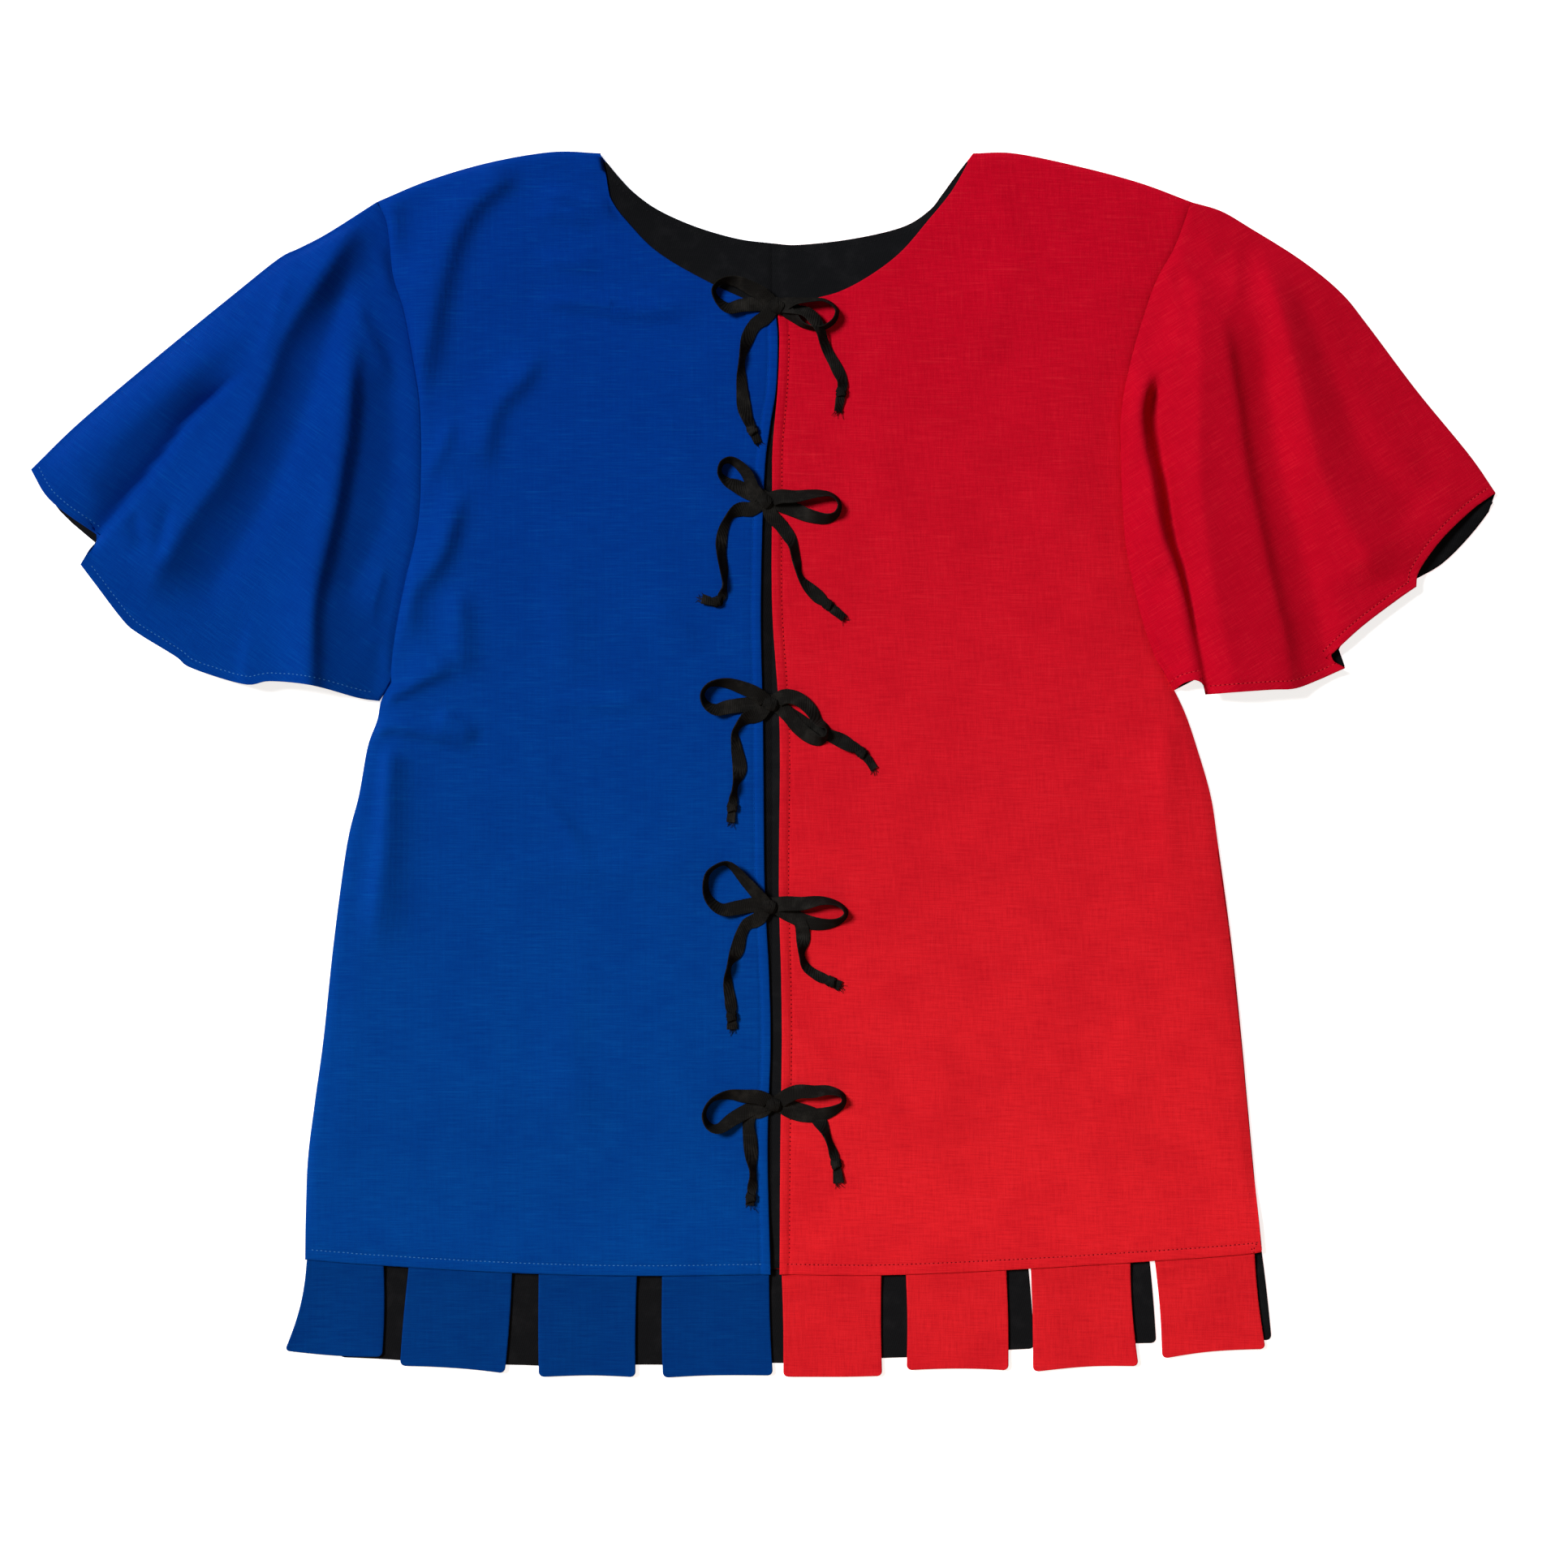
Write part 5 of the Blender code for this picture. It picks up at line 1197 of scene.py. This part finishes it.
def tape_end(name, path, share, surface, material, seed):
    """The knot near a tape's end, and the threads that fray beyond it."""
    random = np.random.default_rng(seed)
    run = lengths_along(path)
    at = share * run[-1]
    centre = np.array([np.interp(at, run, column) for column in path.T])
    ahead = np.array([np.interp(min(at + 2, run[-1]), run, column) for column in path.T]) - centre
    axis = unit(np.array([ahead[0], ahead[1], 0]))
    out = np.array([-axis[1], axis[0], 0])
    bed = surface(centre[0], centre[1], FRONT_UNDER)
    centre[2] = bed + END_KNOT_HEIGHT
    parts = []
    for shift, tilt, lean, width, size in END_KNOT_ROWS:
        turned = axis * math.cos(tilt) + out * math.sin(tilt)
        parts.append(band(centre + axis * shift, turned, np.cross((0, 0, 1), turned), size,
                          END_KNOT_RADIUS_UP, width, END_KNOT_THICK, lean=lean))
    end = path[-1]
    direction = unit(end - path[-4])
    beside = np.cross((0, 0, 1), direction)
    for _ in range(FRAYS):
        length = random.uniform(*FRAY_LENGTH)
        curl = random.normal(0, FRAY_CURL)
        start = end - direction * FRAY_STARTS_IN + beside * random.uniform(-FRAY_SPREAD, FRAY_SPREAD)
        line = []
        for t in np.linspace(0, 1, FRAY_POINTS):
            place = start + direction * length * t + beside * curl * length * t * t * 0.8
            place[2] = bed + 0.4 + (end[2] - bed - 0.4) * (1 - t) + random.uniform(0, 0.25)
            line.append(place)
        parts.append(tube(line, np.linspace(*FRAY_RADII, FRAY_POINTS)))
    return joined(name, parts, material)


def tie(number, bow, first, second, from_side, surface, material):
    """One tape of a bow: from the front's edge through the knot, round a loop, and out as a tail."""
    loop, tail = getattr(bow, first), getattr(bow, second)
    share = getattr(bow, second.replace("tail", "knot"))
    start = ((6 * from_side, -1.5, 0.2, 0), (2.5 * from_side, 0.5, 1.2, 0))
    rows = [*start, *loop, (0, 1.5, 1.6, 0), *tail]
    curve = smooth_curve([(bow.x + dx, bow.y + dy, lift, roll) for dx, dy, lift, roll in rows], steps=10)
    length = lengths_along(curve[:, :2])[-1]
    line = divided(curve, int(length / TAPE_STEP))
    run = lengths_along(line[:, :2])
    tail_length = lengths_along(smooth_curve([row[:2] for row in tail]))[-1]
    knot_at = run[-1] - tail_length * (1 - share)
    near = np.exp(-(((run - knot_at) / (END_KNOT_LENGTH * END_KNOT_TIGHT)) ** 2))
    last = smooth_step((run - knot_at) / END_KNOT_LENGTH)
    in_tail = smooth_step((run - run[-1] + tail_length) / TAIL_FADE)
    twist = run / TAIL_TWIST + number
    wide = TAPE - TAIL_NARROWS * in_tail * (1 - np.cos(twist)) / 2
    widths = wide + (END_KNOT_WIDTH - wide) * near - TAIL_END_NARROWS * last * (1 - near)
    thicks = TAPE_THICK + END_KNOT_THICKER * near + TAIL_END_THICKER * last
    rolls = np.radians(line[:, 3] * ROLL_MORE + TAIL_ROLL * in_tail * np.sin(twist)) * (1 - near)
    lifts = np.maximum(line[:, 2] - TAPE_SINKS, 0)
    piece, path = ribbon(f"tape_{number}_{first}_{second}", line[:, :2], widths, thicks, rolls,
                         surface, lifts, material)
    end = tape_end(f"tape_{number}_{second}_end", path, knot_at / run[-1], surface, material,
                   10 * number + len(first))
    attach(piece, BODY)
    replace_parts(piece, f"bow_{number}_{first}", f"bow_{number}_{second}")


# Finishes

EVENLY = (1, 1, 1)
WEFT = (55, 1500, 0)
WARP = (1500, 55, 0)
WEFT_SLUBS = (22, 620, 0)
WARP_SLUBS = (700, 20, 0)
DUST = (60, 900, 300)
THREAD_TWIST = (900, 900, 900)
MOTTLE_SCALE = 26.0
WORN_SCALE = 90.0
WAVE_SCALE = 20
# Where up the cloth, in metres, the painted light of the hem fades into the shoulder's colour
PAINTED_HEM_LIGHT_SPAN = (-0.34, 0.40)
DARK_THREADS = 0.34
LIGHT_THREADS = 0.30
MOTTLE = 0.20
LINEN_BUMP = 0.00022
LINING_BUMP = 0.00012
TAPE_BUMP = 0.0002
THREAD_BUMP = 0.00008
THREAD_SHADE = 0.55
THREAD_SHEEN = 0.1
BLACK_SHEEN = 0.04
RIB_TURN = 0.6
SHEEN_ROUGHNESS = 0.55
SPECULAR = 0.03

# The Mix node's sockets for colours
MIX_A_COLOUR = 6
MIX_B_COLOUR = 7
MIX_RESULT_COLOUR = 2

# Each linen: its colours at the shoulder, at the hem, of its slubs and in its shade, the
# turn of its grain, how much its slubs and its warp show, and how bright it is
# The hem colours are painted light: lighter towards the hem, for the stronger light there
BLUES = ("blue", "blue_low", "blue_light", "blue_dark")
REDS = ("red", "red_low", "red_light", "red_dark")
LINENS = {
    "blue_linen": (BLUES, 0.0, 0.30, 0.22, 1.0),
    "red_linen": (REDS, 0.02, 0.26, 0.38, 1.0),
    "blue_linen_dag": (BLUES, 0.0, 0.30, 0.22, 0.71),
    "red_linen_dag": (REDS, 0.02, 0.26, 0.45, 0.93),
    "blue_linen_sleeve": (BLUES, 0.62, 0.22, 0.25, 1.0),
    # Painted shade: the red sleeve is painted darker, at 0.92, for the weaker light on that side, and has no
    # lighter hem
    "red_linen_sleeve": (("red", "red", "red_light", "red_dark"), -0.55, 0.16, 0.35, 0.92),
}
BLACKS = {
    "black_lining": (("black", "black_light"), "weave_pitch", LINING_BUMP),
    "black_tape": (("tape", "tape_light"), "rib_pitch", TAPE_BUMP),
}
THREADS = {
    "blue_thread": "blue_thread",
    "blue_edge_thread": "blue_low",
    "red_thread": "red_thread",
    "red_edge_thread": "red_low",
    "red_hole": "red_hole",
    "black_thread": "black_light",
}


class Socket:
    """One output of a material's node. Python's arithmetic on it adds Math nodes."""

    def __init__(self, tree, link):
        self.tree, self.link = tree, link

    def _maths(self, operation, first, second):
        return add_node(self.tree, "ShaderNodeMath", {"operation": operation}, {0: first, 1: second})

    def __add__(self, other):
        return self._maths("ADD", self, other)

    __radd__ = __add__

    def __sub__(self, other):
        return self._maths("SUBTRACT", self, other)

    def __rsub__(self, other):
        return self._maths("SUBTRACT", other, self)

    def __mul__(self, other):
        return self._maths("MULTIPLY", self, other)

    __rmul__ = __mul__

    def over(self, low, high):
        """0 where the value is under low, 1 where it is over high, and smooth between them."""
        settings = {"interpolation_type": "SMOOTHSTEP", "clamp": True}
        inputs = {"Value": self, "From Min": low, "From Max": high}
        return add_node(self.tree, "ShaderNodeMapRange", settings, inputs)


def add_node(tree, kind, settings, inputs, output=0):
    """Adds a node: its settings first, then the values or links of its sockets."""
    node = tree.nodes.new(kind)
    for key, value in settings.items():
        setattr(node, key, value)
    for key, value in inputs.items():
        if isinstance(value, Socket):
            tree.links.new(value.link, node.inputs[key])
        else:
            node.inputs[key].default_value = value
    return Socket(tree, node.outputs[output])


def mixed(tree, factor, first, second):
    """A mix of two colours."""
    first, second = (c if isinstance(c, Socket) else (*c, 1) for c in (first, second))
    inputs = {0: factor, MIX_A_COLOUR: first, MIX_B_COLOUR: second}
    return add_node(tree, "ShaderNodeMix", {"data_type": "RGBA"}, inputs, MIX_RESULT_COLOUR)


def grain(tree, turn, scale):
    """The place on the cloth, turned to its grain and stretched."""
    place = add_node(tree, "ShaderNodeTexCoord", {}, {}, "Object")
    inputs = {"Vector": place, "Angle": turn}
    turned = add_node(tree, "ShaderNodeVectorRotate", {"rotation_type": "Z_AXIS"}, inputs)
    return add_node(tree, "ShaderNodeVectorMath", {"operation": "MULTIPLY"}, {0: turned, 1: scale})


def noise(tree, vector, scale, detail, rough):
    inputs = {"Vector": vector, "Scale": scale, "Detail": detail, "Roughness": rough}
    return add_node(tree, "ShaderNodeTexNoise", {"noise_dimensions": "3D"}, inputs, "Fac")


def streaks(tree, turn, scale, detail=2.0, rough=0.5):
    """Noise drawn out along the grain."""
    return noise(tree, grain(tree, turn, scale), 1.0, detail, rough)


def bands(tree, vector, axis, pitch, distortion):
    """Threads side by side, one to each pitch."""
    inputs = {"Vector": vector, "Scale": 2 * math.pi / WAVE_SCALE / pitch, "Distortion": distortion,
              "Detail": 1.5, "Detail Scale": 1.2}
    settings = {"wave_type": "BANDS", "bands_direction": axis, "wave_profile": "SIN"}
    return add_node(tree, "ShaderNodeTexWave", settings, inputs, "Fac")


def new_material(name, sheen, sheen_tint):
    material = bpy.data.materials.new(name)
    material.use_nodes = True
    shader = material.node_tree.nodes["Principled BSDF"]
    shader.inputs["Sheen Weight"].default_value = sheen
    shader.inputs["Sheen Roughness"].default_value = SHEEN_ROUGHNESS
    shader.inputs["Sheen Tint"].default_value = (*sheen_tint, 1)
    shader.inputs["Specular IOR Level"].default_value = SPECULAR
    return material, material.node_tree, shader


def finish(tree, shader, colour, roughness, height, distance):
    tree.links.new(colour.link, shader.inputs["Base Color"])
    tree.links.new(roughness.link, shader.inputs["Roughness"])
    bump = add_node(tree, "ShaderNodeBump", {}, {"Strength": 1.0, "Distance": distance, "Height": height})
    tree.links.new(bump.link, shader.inputs["Normal"])


def linen(name, colours, pitch, turn, slubs, warps, shade):
    """Plain-woven linen: two sets of threads, thick and thin places, a soft mottle, and painted light that
    makes it lighter towards the hem.
    """
    high, low, light, dark = (tuple(channel * shade for channel in colour) for colour in colours)
    material, tree, shader = new_material(name, 0.0, light)
    plain = grain(tree, turn, EVENLY)
    weft, warp = (streaks(tree, turn, scale, 2.5, 0.6) for scale in (WEFT, WARP))
    long_weft, long_warp = (streaks(tree, turn, scale) for scale in (WEFT_SLUBS, WARP_SLUBS))
    mottle = noise(tree, plain, MOTTLE_SCALE, 3.0, 0.55)
    threads = weft * (1 - warps) + warp * warps
    thin = 1 - threads.over(0.36, 0.56)
    thick = (long_weft.over(0.58, 0.78) + long_warp.over(0.62, 0.80) * (2 * warps)) * slubs
    place = add_node(tree, "ShaderNodeTexCoord", {}, {}, "Object")
    up = add_node(tree, "ShaderNodeSeparateXYZ", {}, {"Vector": place}, "Y")
    # Painted light: the colour goes from the hem's lighter colour up to the shoulder's, for the stronger
    # light towards the hem
    colour = mixed(tree, up.over(*PAINTED_HEM_LIGHT_SPAN), low, high)
    colour = mixed(tree, thin * DARK_THREADS, colour, dark)
    colour = mixed(tree, threads.over(0.50, 0.70) * LIGHT_THREADS, colour, light)
    colour = mixed(tree, thick, colour, light)
    colour = mixed(tree, mottle.over(0.35, 0.70) * MOTTLE, colour, dark)
    across, down = (bands(tree, plain, axis, pitch, 1.2) for axis in "XY")
    weave = across * down + threads * 0.9 + thick * 0.6
    finish(tree, shader, colour, 0.86 + threads * 0.1, weave, LINEN_BUMP)
    return material


def woven_black(name, base, light, pitch, bump):
    """Black cloth or tape: fine ribs, with a little dust and wear on the raised threads."""
    material, tree, shader = new_material(name, BLACK_SHEEN, light)
    plain = grain(tree, RIB_TURN, EVENLY)
    worn = noise(tree, plain, WORN_SCALE, 4.0, 0.6)
    dust = streaks(tree, 0.0, DUST)
    colour = mixed(tree, worn.over(0.45, 0.75) * 0.55, base, light)
    colour = mixed(tree, dust.over(0.55, 0.8) * 0.25, colour, light)
    ribs = bands(tree, plain, "DIAGONAL", pitch, 0.6)
    finish(tree, shader, colour, 0.78 + worn * 0.15, ribs + dust * 0.8, bump)
    return material


def thread(name, colour):
    """Sewing thread, with painted shade between its twists."""
    material, tree, shader = new_material(name, THREAD_SHEEN, colour)
    twist = streaks(tree, 0.0, THREAD_TWIST, 1.0)
    shade = mixed(tree, twist.over(0.3, 0.8) * 0.5, colour, tuple(c * THREAD_SHADE for c in colour))
    finish(tree, shader, shade, 0.6 + twist * 0.2, twist, THREAD_BUMP)
    return material


# Settings that a user would change

def colour_setting(name, text, value):
    return bpy.props.FloatVectorProperty(name=name, description=text, default=value, size=3,
                                         subtype="COLOR", min=0, max=1)


def size_setting(name, text, value):
    return bpy.props.FloatProperty(name=name, description=text, default=value, unit="LENGTH",
                                   subtype="DISTANCE", min=0)


def angle_setting(name, text, degrees):
    return bpy.props.FloatProperty(name=name, description=text, default=math.radians(degrees),
                                   subtype="ANGLE")


def strength_setting(name, text, value, unit="NONE"):
    return bpy.props.FloatProperty(name=name, description=text, default=value, min=0, unit=unit)


class SurcoatColours(bpy.types.PropertyGroup):
    """Colours of the cloths and the threads."""
    blue: colour_setting("Blue", "Linen of the left half, at the shoulder", (0.0, 0.0400, 0.322))
    # Painted light, not wear: the blue linen is painted lighter towards the hem, for the stronger light there
    blue_low: colour_setting("Blue at the hem", "The same linen, worn lighter", (0.0006, 0.0620, 0.335))
    blue_light: colour_setting("Blue slubs", "Lighter threads of the blue linen", (0.003, 0.105, 0.44))
    blue_dark: colour_setting("Blue shade", "Darker threads of the blue linen", (0.0, 0.026, 0.230))
    red: colour_setting("Red", "Linen of the right half, at the shoulder", (0.65, 0.0022, 0.0210))
    # Painted light, not wear: the red linen is painted lighter towards the hem, for the stronger light there
    red_low: colour_setting("Red at the hem", "The same linen, worn lighter", (0.86, 0.0170, 0.0250))
    red_light: colour_setting("Red slubs", "Lighter threads of the red linen", (0.92, 0.030, 0.048))
    red_dark: colour_setting("Red shade", "Darker threads of the red linen", (0.45, 0.0012, 0.012))
    black: colour_setting("Lining", "Black lining", (0.0065, 0.0068, 0.0078))
    black_light: colour_setting("Lining threads", "Raised threads of the lining", (0.013, 0.013, 0.0145))
    tape: colour_setting("Tape", "Black tape of the ties", (0.0085, 0.0080, 0.0074))
    tape_light: colour_setting("Tape ribs", "Worn ribs of the tape", (0.030, 0.028, 0.025))
    blue_thread: colour_setting("Blue thread", "Topstitching on the blue half", (0.055, 0.23, 0.58))
    red_thread: colour_setting("Red thread", "Topstitching on the red half", (0.70, 0.035, 0.045))
    # Painted shade: the dark red of the needle holes, where shade falls into them
    red_hole: colour_setting("Red needle holes", "Holes between the red stitches", (0.15, 0.001, 0.005))


class SurcoatSewing(bpy.types.PropertyGroup):
    """Sizes of the weave and of the stitches."""
    weave_pitch: size_setting("Thread pitch", "From one thread of the linen to the next", 0.00062)
    rib_pitch: size_setting("Rib pitch", "From one rib of the tape to the next", 0.0008)
    stitch_pitch: size_setting("Stitch pitch", "From one topstitch to the next", 0.0030)
    stitch_length: size_setting("Stitch length", "Length of thread that shows in a stitch", 0.0016)
    stitch_width: size_setting("Stitch width", "Width of the sewing thread", 0.0006)


class SurcoatLight(bpy.types.PropertyGroup):
    """The stage: its floor and its lights."""
    key: strength_setting("Key", "Strength of the main light", 3.2)
    key_height: angle_setting("Key height", "Main light above the horizon", 50)
    key_side: angle_setting("Key side", "Turn of the main light, from the left upwards", 28)
    fill: strength_setting("Fill", "Power of the warm light at the hem", 3.0, "POWER")
    fill_colour: colour_setting("Fill colour", "Colour of the light at the hem", (1.0, 0.62, 0.28))
    sky: strength_setting("Surroundings", "Even light from all round", 0.10)
    floor: colour_setting("Floor", "The plain pale floor", (0.93, 0.93, 0.93))
    floor_glow: strength_setting("Floor glow", "Light that the floor gives off", 0.74)


_finishes = {}


def cloth(name):
    """A cloth's, tape's or thread's finish by name. Each is made once."""
    if name in _finishes:
        return _finishes[name]
    colours = bpy.context.scene.surcoat_colours
    sewing = bpy.context.scene.surcoat_sewing

    def picked(names):
        return [tuple(getattr(colours, colour)) for colour in names]

    if name in LINENS:
        names, *rest = LINENS[name]
        made = linen(name, picked(names), sewing.weave_pitch, *rest)
    elif name in BLACKS:
        names, pitch, bump = BLACKS[name]
        made = woven_black(name, *picked(names), getattr(sewing, pitch), bump)
    else:
        made = thread(name, *picked([THREADS[name]]))
    _finishes[name] = made
    return made


# Operators

class SURCOAT_OT_backs(bpy.types.Operator):
    """Makes the two backs and the black lining that shows in the neck and the front opening"""
    bl_idname = "surcoat.backs"
    bl_label = "Backs and lining"

    def execute(self, context):
        for side in SIDES:
            back_panel(side, [cloth(side.name + "_linen")] * 2)
            back_lining(side, [cloth("black_lining")])
        return {"FINISHED"}


class SURCOAT_OT_fronts(bpy.types.Operator):
    """Makes the two fronts, with turned edges, a stitched hem and soft folds"""
    bl_idname = "surcoat.fronts"
    bl_label = "Fronts"

    def execute(self, context):
        for side in SIDES:
            front_panel(side, [cloth(side.name + "_linen"), cloth("black_lining")])
        return {"FINISHED"}


class SURCOAT_OT_sleeves(bpy.types.Operator):
    """Makes the bell sleeves, with their deep folds and their lining"""
    bl_idname = "surcoat.sleeves"
    bl_label = "Sleeves"

    def execute(self, context):
        for side in SIDES:
            sleeve(side, [cloth(side.name + "_linen_sleeve"), cloth("black_lining")])
            sleeve_lining(side, [cloth("black_lining")])
        return {"FINISHED"}


class SURCOAT_OT_dags(bpy.types.Operator):
    """Makes the dags of the front hem and of the back hem"""
    bl_idname = "surcoat.dags"
    bl_label = "Dags"

    def execute(self, context):
        for side in SIDES:
            for number, dag in enumerate(FRONT_DAGS[side.name], 1):
                front_dag(f"dag_front_{side.name}_{number}", dag, 2.1 * number,
                          [cloth(side.name + "_linen_dag"), cloth("black_lining")])
        hem_line = np.vstack([back_hem(side) for side in SIDES])
        for i in range(BACK_DAGS):
            colour = "blue" if i >= BACK_DAGS_BLUE_FROM - 1 else "red"
            askew_top, askew_low = (SECOND_ASKEW_TOP, SECOND_ASKEW_LOW) if i == 1 else (0, 0)
            back_dag(f"dag_back_{i + 1}", BACK_DAG_FIRST_TOP - i * BACK_DAG_PITCH_TOP + askew_top,
                     BACK_DAG_FIRST_LOW - i * BACK_DAG_PITCH_LOW + askew_low, hem_line,
                     [cloth("black_lining"), cloth(colour + "_linen_dag")])
        return {"FINISHED"}


class SURCOAT_OT_stitches(bpy.types.Operator):
    """Sews the topstitching of the front edges, the hems, the sleeves and the back of the neck"""
    bl_idname = "surcoat.stitches"
    bl_label = "Topstitching"

    def execute(self, context):
        sewing = context.scene.surcoat_sewing
        pitch = sewing.stitch_pitch / MM
        length, width = sewing.stitch_length / MM, sewing.stitch_width / MM
        size = (length / 2, width / 2, width / 3)
        for side in SIDES:
            turn = side.turn
            cloths = surface_over([bpy.data.objects["cloth_front_" + side.name],
                                   bpy.data.objects["cloth_sleeve_" + side.name]])
            edge = divided(shifted(smooth_curve(side.centre), -turn * TURNED_EDGE), 199, 0.02, 0.985)
            hem = divided(shifted(smooth_curve(side.hem), turn * HEM_STITCH_UP), 119, 0.01, 0.985)
            cuffs = [divided(shifted(run, turn * SLEEVE_STITCH_IN), 89, 0.02, 0.98)
                     for run in sewn_hem(side.hem_front)]
            neck = divided(shifted(smooth_curve(side.neck_back), -turn * NECK_STITCH_IN), 59, 0.12, 0.99)
            stitches("stitches_edge_" + side.name, [edge], cloths, cloth(side.name + "_edge_thread"),
                     pitch, size, 6)
            stitches("stitches_" + side.name, [hem, *cuffs], cloths, cloth(side.name + "_thread"),
                     pitch, size, 7)
            if side.name == "red":
                # The needle holes are dark beads: painted shade in the holes
                stitches("needle_holes_red", [edge, hem, *cuffs], cloths, cloth("red_hole"),
                         pitch, NEEDLE_HOLE, 8, NEEDLE_HOLE_SUNK, True)
            stitches("stitches_neck_" + side.name, [neck], lambda x, y: LINING_Z + LINING,
                     cloth("black_thread"), pitch, size, 9)
        return {"FINISHED"}


class SURCOAT_OT_ties(bpy.types.Operator):
    """Ties the five tape bows, each from two tapes with knotted, frayed ends"""
    bl_idname = "surcoat.ties"
    bl_label = "Ties"

    def execute(self, context):
        surface = surface_over([bpy.data.objects["cloth_front_" + side.name] for side in SIDES])
        for number, bow in enumerate(BOWS, 1):
            tie(number, bow, "left_loop", "right_tail", -1, surface, cloth("black_tape"))
            tie(number, bow, "right_loop", "left_tail", 1, surface, cloth("black_tape"))
            bow_knot(number, bow, surface, cloth("black_tape"))
        return {"FINISHED"}


# The stage, in metres

FLOOR_HALF = 4.0
FLOOR_Z = -0.0002
FLOOR_ROUGHNESS = 0.9
KEY_SPREAD = 16
FILL_SIZE = 0.9
FILL_PLACE = Vector((0.1, -1.15, 0.75))
FILL_AIM = Vector((0.05, -0.3, 0))
WHITE = (1, 1, 1, 1)
LENS = 85
SENSOR = 36
CAMERA_PLACE = (0.014, -0.0132, 2.51)


def put(scene, name, data, place=(0, 0, 0), facing=None):
    """Puts a new object into the scene, with the front of a light turned away from facing."""
    made = bpy.data.objects.new(name, data)
    made.location = place
    if facing is not None:
        made.rotation_euler = facing.to_track_quat("Z", "Y").to_euler()
    scene.collection.objects.link(made)
    return made


class SURCOAT_OT_stage(bpy.types.Operator):
    """Sets the pale floor, the soft lights and the camera straight above"""
    bl_idname = "surcoat.stage"
    bl_label = "Stage"

    def execute(self, context):
        scene = context.scene
        light = scene.surcoat_light
        mesh = bpy.data.meshes.new("floor")
        corners = ((-1, -1), (1, -1), (1, 1), (-1, 1))
        mesh.from_pydata([(x * FLOOR_HALF, y * FLOOR_HALF, FLOOR_Z) for x, y in corners], [], [(0, 1, 2, 3)])
        material, _, shader = new_material("pale_floor", 0.0, WHITE[:3])
        for name, value in (("Base Color", (*light.floor, 1)), ("Roughness", FLOOR_ROUGHNESS),
                            ("Emission Color", WHITE), ("Emission Strength", light.floor_glow)):
            shader.inputs[name].default_value = value
        mesh.materials.append(material)
        put(scene, "floor", mesh)

        key = bpy.data.lights.new("key", "SUN")
        key.energy = light.key
        key.angle = math.radians(KEY_SPREAD)
        high, side = light.key_height, light.key_side
        ray = Vector((-math.cos(high) * math.cos(side), math.cos(high) * math.sin(side), math.sin(high)))
        put(scene, "key", key, facing=ray)

        fill = bpy.data.lights.new("fill", "AREA")
        fill.energy = light.fill
        fill.size = FILL_SIZE
        fill.color = light.fill_colour
        put(scene, "fill", fill, FILL_PLACE, FILL_PLACE - FILL_AIM)

        scene.world = scene.world or bpy.data.worlds.new("surroundings")
        scene.world.use_nodes = True
        background = scene.world.node_tree.nodes["Background"]
        background.inputs["Color"].default_value = WHITE
        background.inputs["Strength"].default_value = light.sky
        scene.view_settings.view_transform = "Standard"

        camera = bpy.data.cameras.new("camera")
        camera.lens = LENS
        camera.sensor_width = SENSOR
        scene.camera = put(scene, "camera", camera, CAMERA_PLACE)
        return {"FINISHED"}


OPERATORS = (SURCOAT_OT_stage, SURCOAT_OT_backs, SURCOAT_OT_fronts, SURCOAT_OT_sleeves, SURCOAT_OT_dags,
             SURCOAT_OT_ties, SURCOAT_OT_stitches)


class SURCOAT_PT_panel(bpy.types.Panel):
    """Lists the surcoat's pieces and its settings"""
    bl_idname = "SURCOAT_PT_panel"
    bl_label = "Surcoat"
    bl_space_type = "VIEW_3D"
    bl_region_type = "UI"
    bl_category = "Surcoat"

    def draw(self, context):
        for operator in OPERATORS:
            self.layout.operator(operator.bl_idname)
        for group in ("surcoat_colours", "surcoat_sewing", "surcoat_light"):
            settings = getattr(context.scene, group)
            for name in settings.bl_rna.properties.keys():
                if name not in ("rna_type", "name"):
                    self.layout.prop(settings, name)


GROUPS = {"surcoat_colours": SurcoatColours, "surcoat_sewing": SurcoatSewing, "surcoat_light": SurcoatLight}


def register():
    for kind in (*GROUPS.values(), *OPERATORS, SURCOAT_PT_panel):
        bpy.utils.register_class(kind)
    for name, kind in GROUPS.items():
        setattr(bpy.types.Scene, name, bpy.props.PointerProperty(type=kind))


def unregister():
    for name in GROUPS:
        delattr(bpy.types.Scene, name)
    for kind in (SURCOAT_PT_panel, *OPERATORS[::-1], *GROUPS.values()):
        bpy.utils.unregister_class(kind)


def main():
    register()
    for operator in OPERATORS:
        group, name = operator.bl_idname.split(".")
        getattr(getattr(bpy.ops, group), name)()


if __name__ == "__main__":
    main()
